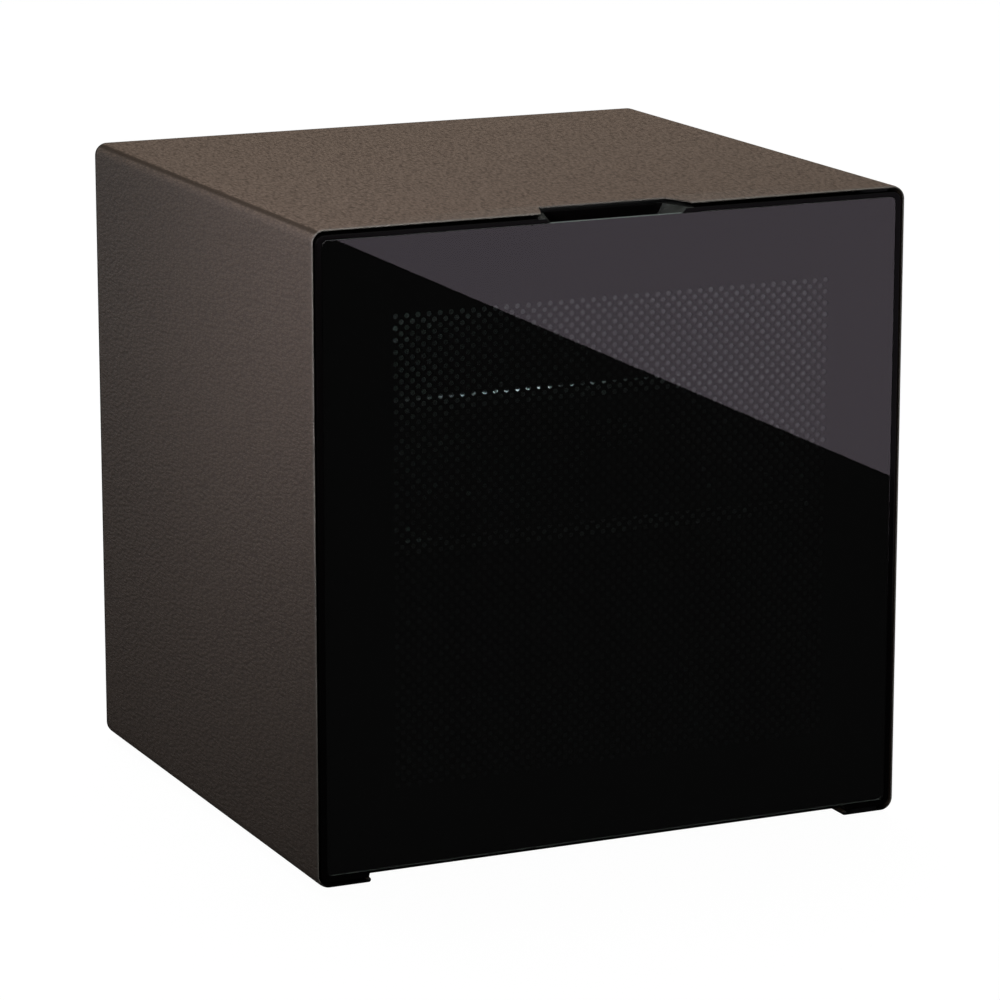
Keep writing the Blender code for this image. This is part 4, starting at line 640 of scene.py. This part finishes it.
def dot_tiles():
    """Diamond tiles with holes: corners at half a step, edge middles at that over root 2."""
    angle = np.arange(SIDES) * 2 * np.pi / SIDES
    ray = np.stack([np.cos(angle), np.sin(angle)], 1)
    reach = np.where(np.arange(SIDES) % 2 == 0, DOT_STEP / 2, DOT_STEP / 2 / np.sqrt(2))
    tile = np.concatenate([ray * reach[:, None], ray * DOT_R])
    whole = (np.arange(DOT_COUNT) - (DOT_COUNT - 1) / 2) * DOT_STEP
    half = whole[:-1] + DOT_STEP / 2
    centres = np.concatenate([np.stack(np.meshgrid(row, row), -1).reshape(-1, 2)
                              for row in (whole, half)])
    points = (centres[:, None] + tile[None]).reshape(-1, 2)
    k = np.arange(SIDES)
    quads = np.stack([k, (k + 1) % SIDES, SIDES + (k + 1) % SIDES, SIDES + k], 1)
    faces = (quads[None] + (np.arange(len(centres)) * 2 * SIDES)[:, None, None]).reshape(-1, 4)
    return points, faces, whole


def make_print():
    """The tiles, a triangle in each gap along the field's sides, and four sheets round them."""
    points, faces, whole = dot_tiles()
    edge, quarter = whole[-1] + DOT_STEP / 2, DOT_STEP / 4
    tooth = np.array([(-2, 0), (-1, -1), (0, -2), (1, -1), (2, 0)]) * quarter
    gaps = np.stack([whole[:-1] + DOT_STEP / 2, np.full(DOT_COUNT - 1, edge)], 1)
    teeth = gaps[:, None] + tooth[None]
    corner = np.array([(edge, edge), (edge - 2 * quarter, edge), (edge - quarter, edge - quarter),
                       (edge, edge - 2 * quarter)])
    side = np.concatenate([[-edge], whole, [edge]])
    rim = round_rect(PANE_HIGH[0] - PRINT_EDGE, PANE_LOW[2] + PRINT_EDGE - WINDOW_MIDDLE[1],
                     PANE_HIGH[2] - PRINT_EDGE - WINDOW_MIDDLE[1], PANE_R - PRINT_EDGE, RIM_STEPS)
    quarter_rim = RIM_STEPS + 1
    reach = np.arange(quarter_rim + 1) + 3 * quarter_rim // 2
    extra, caps, count = [], [], len(points)

    def cap(outline):
        nonlocal count
        extra.append(outline)
        caps.append(np.arange(len(outline)) + count)
        count += len(outline)

    for turn in range(4):
        c, s = round(math.cos(turn * math.pi / 2)), round(math.sin(turn * math.pi / 2))
        spin = np.array([(c, s), (-s, c)])
        for outline in [*teeth, corner]:
            cap(outline @ spin)
        inner = np.stack([side, np.full(len(side), edge)], 1) @ spin
        cap(np.concatenate([inner, rim[(reach + quarter_rim * turn) % len(rim)]]))
    flat = np.concatenate([points, *extra])
    keys, back = np.unique(np.round(flat / MERGE).astype(np.int64), axis=0, return_inverse=True)
    back = back.ravel()
    merged = keys * MERGE + WINDOW_MIDDLE
    place = np.stack([merged[:, 0], np.full(len(merged), PRINT_LOW[1]), merged[:, 1]], 1)
    mesh = mesh_from("dotted_print", place, back[faces], [back[c] for c in caps])
    bm = bmesh.new()
    bm.from_mesh(mesh)
    bmesh.ops.recalc_face_normals(bm, faces=bm.faces)
    if sum(face.normal.y * face.calc_area() for face in bm.faces) > 0:
        bmesh.ops.reverse_faces(bm, faces=bm.faces)
    bm.to_mesh(mesh)
    bm.free()
    layer = piece("dotted_print", mesh, "printed_screen")
    thick = layer.modifiers.new("fired layer", "SOLIDIFY")
    thick.thickness, thick.offset = PRINT_HIGH[1] - PRINT_LOW[1], -1


make_print()

# %% [markdown]
# Pieces whose construction shape is already right only need smooth shading. The construction
# model hands them over as loose triangles with stored normals, so a copy is merged first, flat
# areas are joined, and the stored normals are dropped. Then edges sharper than the given angle
# stay crisp and the rest is shaded round, with large faces leading, so that flat ones look
# flat. Pieces with flat faces only keep their own node.
# %% Smooth copies of round pieces
MERGE_GAP = 1e-6
FLAT = math.radians(0.1)


def dress(node):
    """A merged, smooth-shaded copy of a construction piece that stands for it."""
    bm = bmesh.new()
    bm.from_mesh(frame["nodes"][node].data)
    bmesh.ops.remove_doubles(bm, verts=bm.verts, dist=MERGE_GAP)
    bmesh.ops.dissolve_limit(bm, angle_limit=FLAT, verts=bm.verts, edges=bm.edges)
    mesh = bpy.data.meshes.new(node + "_skin")
    bm.to_mesh(mesh)
    bm.free()
    if "custom_normal" in mesh.attributes:
        mesh.attributes.remove(mesh.attributes["custom_normal"])
    obj = piece(node + "_skin", mesh, node, angle=50)
    even = obj.modifiers.new("large faces lead", "WEIGHTED_NORMAL")
    even.mode, even.weight, even.keep_sharp = "FACE_AREA_WITH_ANGLE", 100, True


ROUND = ["door_frame", "door_glass_inner", "door_gasket", "door_inner_frame", "glazing_spacer",
         "inner_liner", "foot_front_left", "foot_front_right", "foot_rear_left",
         "foot_rear_right", "hinge_pin_lower", "hinge_pin_upper", "hinge_bush_lower",
         "hinge_bush_upper", "sensor_tube", "evaporator_plate", "drain_tube",
         "compressor_shell", "compressor_mounting_plate", "compressor_grommet_1",
         "compressor_grommet_2", "compressor_grommet_3", "compressor_grommet_4",
         "process_tube", "evaporation_pan", "condenser_coil", "filter_drier",
         "discharge_line", "suction_line", "capillary_tube", "motor_lead", "thermostat_knob",
         "relay_cover", "hinge_bracket_lower", "hinge_bracket_upper", "control_housing",
         "thermostat_switch"]
for node in ROUND:
    dress(node)
made = {"outer_sleeve", "door_glass_outer", "printed_screen", *ROUND}
for node in sorted(set(frame["nodes"]) - made):
    data = frame["nodes"][node].data
    data.materials.clear()
    data.materials.append(FINISH[SLOT_OF[node]])
print(len(ROUND), "smooth copies,", len(frame["nodes"]) - len(made), "pieces as they were built")

# %% [markdown]
# The camera stands where the photographer's did: about 4 m off, turned 24.7 degrees to the
# right of straight ahead and 13.1 degrees down, with a long lens. These values come from
# fitting the cabinet's edges to the picture.
# %% Camera
CAMERA_PLACE = Vector((-1.6310, -3.5749, 1.1747))
CAMERA_TURN, CAMERA_DROP = math.radians(24.684), math.radians(13.149)
CAMERA_LENS, SENSOR = 161.66, 36.0
ahead = Vector((math.sin(CAMERA_TURN) * math.cos(CAMERA_DROP),
                math.cos(CAMERA_TURN) * math.cos(CAMERA_DROP), -math.sin(CAMERA_DROP)))
camera = bpy.data.objects.new("camera", bpy.data.cameras.new("camera"))
camera.data.lens, camera.data.sensor_width = CAMERA_LENS, SENSOR
camera.location = CAMERA_PLACE
camera.rotation_mode = "QUATERNION"
camera.rotation_quaternion = ahead.to_track_quat("-Z", "Y")
bpy.context.scene.collection.objects.link(camera)
bpy.context.scene.camera = camera
print("camera looks along", [round(a, 3) for a in ahead])

# %% [markdown]
# A black, glossy thing is lit by what it mirrors. The studio has a pale floor and a white
# surround. They are white to the eye and in reflections, and dimmer as a light, through the
# Light Path node: lit as brightly as it looks, a white room would wash the brown coat out.
# The floor also keeps a faint shadow round the cabinet, and its glow is a little weaker there, a
# painted shade.
# %% Surround and floor
def seen(tree):
    """1 for rays from the camera, from gloss and through glass, else 0."""
    path = add(tree, "LightPath").outputs
    first = maths(tree, "MAXIMUM", path["Is Camera Ray"], path["Is Glossy Ray"])
    return maths(tree, "MAXIMUM", first, path["Is Transmission Ray"])


AMBIENT = 0.06
world = bpy.data.worlds.new("studio")
bpy.context.scene.world = world
world.use_nodes = True
tree = world.node_tree
backdrop = tree.nodes["Background"]
tree.links.new(ramp(tree, seen(tree), 0.0, 1.0, AMBIENT), backdrop.inputs["Strength"])
backdrop.inputs["Color"].default_value = (1, 1, 1, 1)


def flat_card(name, corners, material):
    """Four corners, one face."""
    card = bpy.data.objects.new(name, mesh_from(name, corners, [(0, 1, 2, 3)]))
    card.data.materials.append(material)
    bpy.context.scene.collection.objects.link(card)
    return card


def floor_paint():
    """Grey paint with a white glow to the eye, a little weaker near the cabinet as painted shade.
    """
    material, tree, shader, place = start("pale studio floor", "#484848", 0.9)
    shader.inputs["Specular IOR Level"].default_value = 0.0
    away = add(tree, "VectorMath", {0: place}, operation="LENGTH").outputs["Value"]
    # painted shade: the glow is a little weaker near the cabinet
    level = ramp(tree, away, *PAINTED_SHADE_REACH, FLOOR_GLOW, interpolation_type="SMOOTHSTEP")
    glow = add(tree, "Emission", {"Color": (1, 1, 1, 1), "Strength": level})
    both = add(tree, "AddShader", {0: shader.outputs[0], 1: glow.outputs[0]})
    mixed = add(tree, "MixShader", {0: seen(tree), 1: shader.outputs[0], 2: both.outputs[0]})
    tree.links.new(mixed.outputs[0], tree.nodes["Material Output"].inputs["Surface"])
    return material


FLOOR_GLOW = 0.98
PAINTED_SHADE_REACH = (0.5, 1.4)
ROOM = 12.0
flat_card("floor", [(-ROOM, -ROOM, 0), (ROOM, -ROOM, 0), (ROOM, ROOM, 0), (-ROOM, ROOM, 0)],
          floor_paint())
print(f"floor {2 * ROOM:.0f} m wide")

# %% [markdown]
# Three soft lamps light the coat. A broad one overhead makes the top the lightest face. A weak
# one in front lifts the front edges. A narrow one at the front left draws the soft fall of
# light from the upper front corner of the side down to the rear: a grid, the lamp's small
# spread, keeps it off the top and the floor. No lamp shows in a reflection.
# %% Lamps
WHITE = (1, 1, 1)
COOL_ROSE = (1, 0.97, 1.08)
LAMPS = {       # place, target, width in metres, power in watts, spread in degrees, colour
    "overhead": ((0.3, 0.9, 2.5), (0, 0, 0.5), 2.2, 49, 180, WHITE),
    "front": ((-0.5, -3.0, 0.9), (0, -0.26, 0.35), 1.2, 12, 180, WHITE),
    "front left": ((-1.1, -1.0, 1.0), (-0.275, -0.20, 0.54), 0.35, 0.67, 36, COOL_ROSE),
}


def softbox(name, place, target, width, power, spread, colour):
    """A square area lamp that faces a target."""
    lamp = bpy.data.lights.new(name, "AREA")
    lamp.shape, lamp.size, lamp.size_y, lamp.energy = "RECTANGLE", width, width, power
    lamp.spread, lamp.color = math.radians(spread), colour
    obj = bpy.data.objects.new(name, lamp)
    obj.location = place
    obj.rotation_mode = "QUATERNION"
    obj.rotation_quaternion = (Vector(target) - Vector(place)).to_track_quat("-Z", "Y")
    obj.visible_glossy = False
    obj.visible_transmission = False
    bpy.context.scene.collection.objects.link(obj)


for name, setting in LAMPS.items():
    softbox(name, *setting)
print(len(LAMPS), "lamps")

# %% [markdown]
# The door's glass mirrors a black card, and beyond it a white one, whose edge is the slanting
# line across the glass. The cards are there only for light that came off a mirror, so they
# hide from the eye, and from straight looks through the glass, which they would turn hazy. A
# black flag behind the cabinet takes the white surround out of the sheen of the flat top.
#
# The line is placed by looking it up: a mirror shows what the mirrored eye would see through
# it. So each end of the line in the picture is sent out from the mirrored camera. The camera
# looks down, so these rays meet the floor in front of the door, and there the black card ends
# and the white one begins.
# %% Cards in front of the door
PICTURE = 1000
FOCAL = CAMERA_LENS / SENSOR * PICTURE
SLANT_LEFT, SLANT_RIGHT = (334, 239), (886, 474)
CARD_Z = 0.001
right_hand = Vector((math.cos(CAMERA_TURN), -math.sin(CAMERA_TURN), 0))
upward = right_hand.cross(ahead)


def mirrored(pixel):
    """Where the front glass sends the ray of a pixel: the point at which it meets the cards."""
    ray = (ahead + right_hand * ((pixel[0] - PICTURE / 2) / FOCAL)
           - upward * ((pixel[1] - PICTURE / 2) / FOCAL))
    at_glass = CAMERA_PLACE + ray * ((PANE_LOW[1] - CAMERA_PLACE.y) / ray.y)
    bounced = Vector((ray.x, -ray.y, ray.z))
    return at_glass + bounced * ((CARD_Z - at_glass.z) / bounced.z)


def mirrored_only(name, strength, colour=(1, 1, 1, 1)):
    """Clear to rays that met no mirror yet, else a glow of the given strength."""
    material = bpy.data.materials.new(name)
    material.use_nodes = True
    tree = material.node_tree
    tree.nodes.remove(tree.nodes["Principled BSDF"])
    glow = add(tree, "Emission", {"Color": colour, "Strength": strength}).outputs[0]
    clear = add(tree, "BsdfTransparent").outputs[0]
    once = maths(tree, "MINIMUM", add(tree, "LightPath").outputs["Glossy Depth"], 1.0)
    mixed = add(tree, "MixShader", {0: once, 1: clear, 2: glow})
    tree.links.new(mixed.outputs[0], tree.nodes["Material Output"].inputs["Surface"])
    return material


def reflection_card(name, corners, material):
    card = flat_card(name, corners, material)
    card.visible_camera = card.visible_diffuse = card.visible_shadow = False
    return card


CARD_WIDTH, CARD_OVERRUN = 6, 4
ROSE_WHITE = (1.08, 0.94, 1.10, 1)
BLACK_CARD_GLOW = 0.045
FLAG_Y, FLAG_LEFT, FLAG_RIGHT, FLAG_LOW, FLAG_HIGH = 2.5, -1.3, 5.0, 0.3, 4.5
left_end, right_end = mirrored(SLANT_LEFT), mirrored(SLANT_RIGHT)
along = (right_end - left_end).normalized()
out = Vector((along.y, -along.x, 0)) * CARD_WIDTH
near, far = left_end - along * CARD_OVERRUN, right_end + along * CARD_OVERRUN
reflection_card("white_card", [near, near + out, far + out, far],
                mirrored_only("white card", 1.0, ROSE_WHITE))
reflection_card("black_card", [far, far - out, near - out, near],
                mirrored_only("black card", BLACK_CARD_GLOW))
reflection_card("rear_flag", [(FLAG_LEFT, FLAG_Y, FLAG_LOW), (FLAG_RIGHT, FLAG_Y, FLAG_LOW),
                              (FLAG_RIGHT, FLAG_Y, FLAG_HIGH), (FLAG_LEFT, FLAG_Y, FLAG_HIGH)],
                mirrored_only("black flag", 0.0))
print("the slanting edge runs from", [round(a, 2) for a in left_end],
      "to", [round(a, 2) for a in right_end])

# %% Finish
bpy.context.scene.view_settings.view_transform = "Standard"
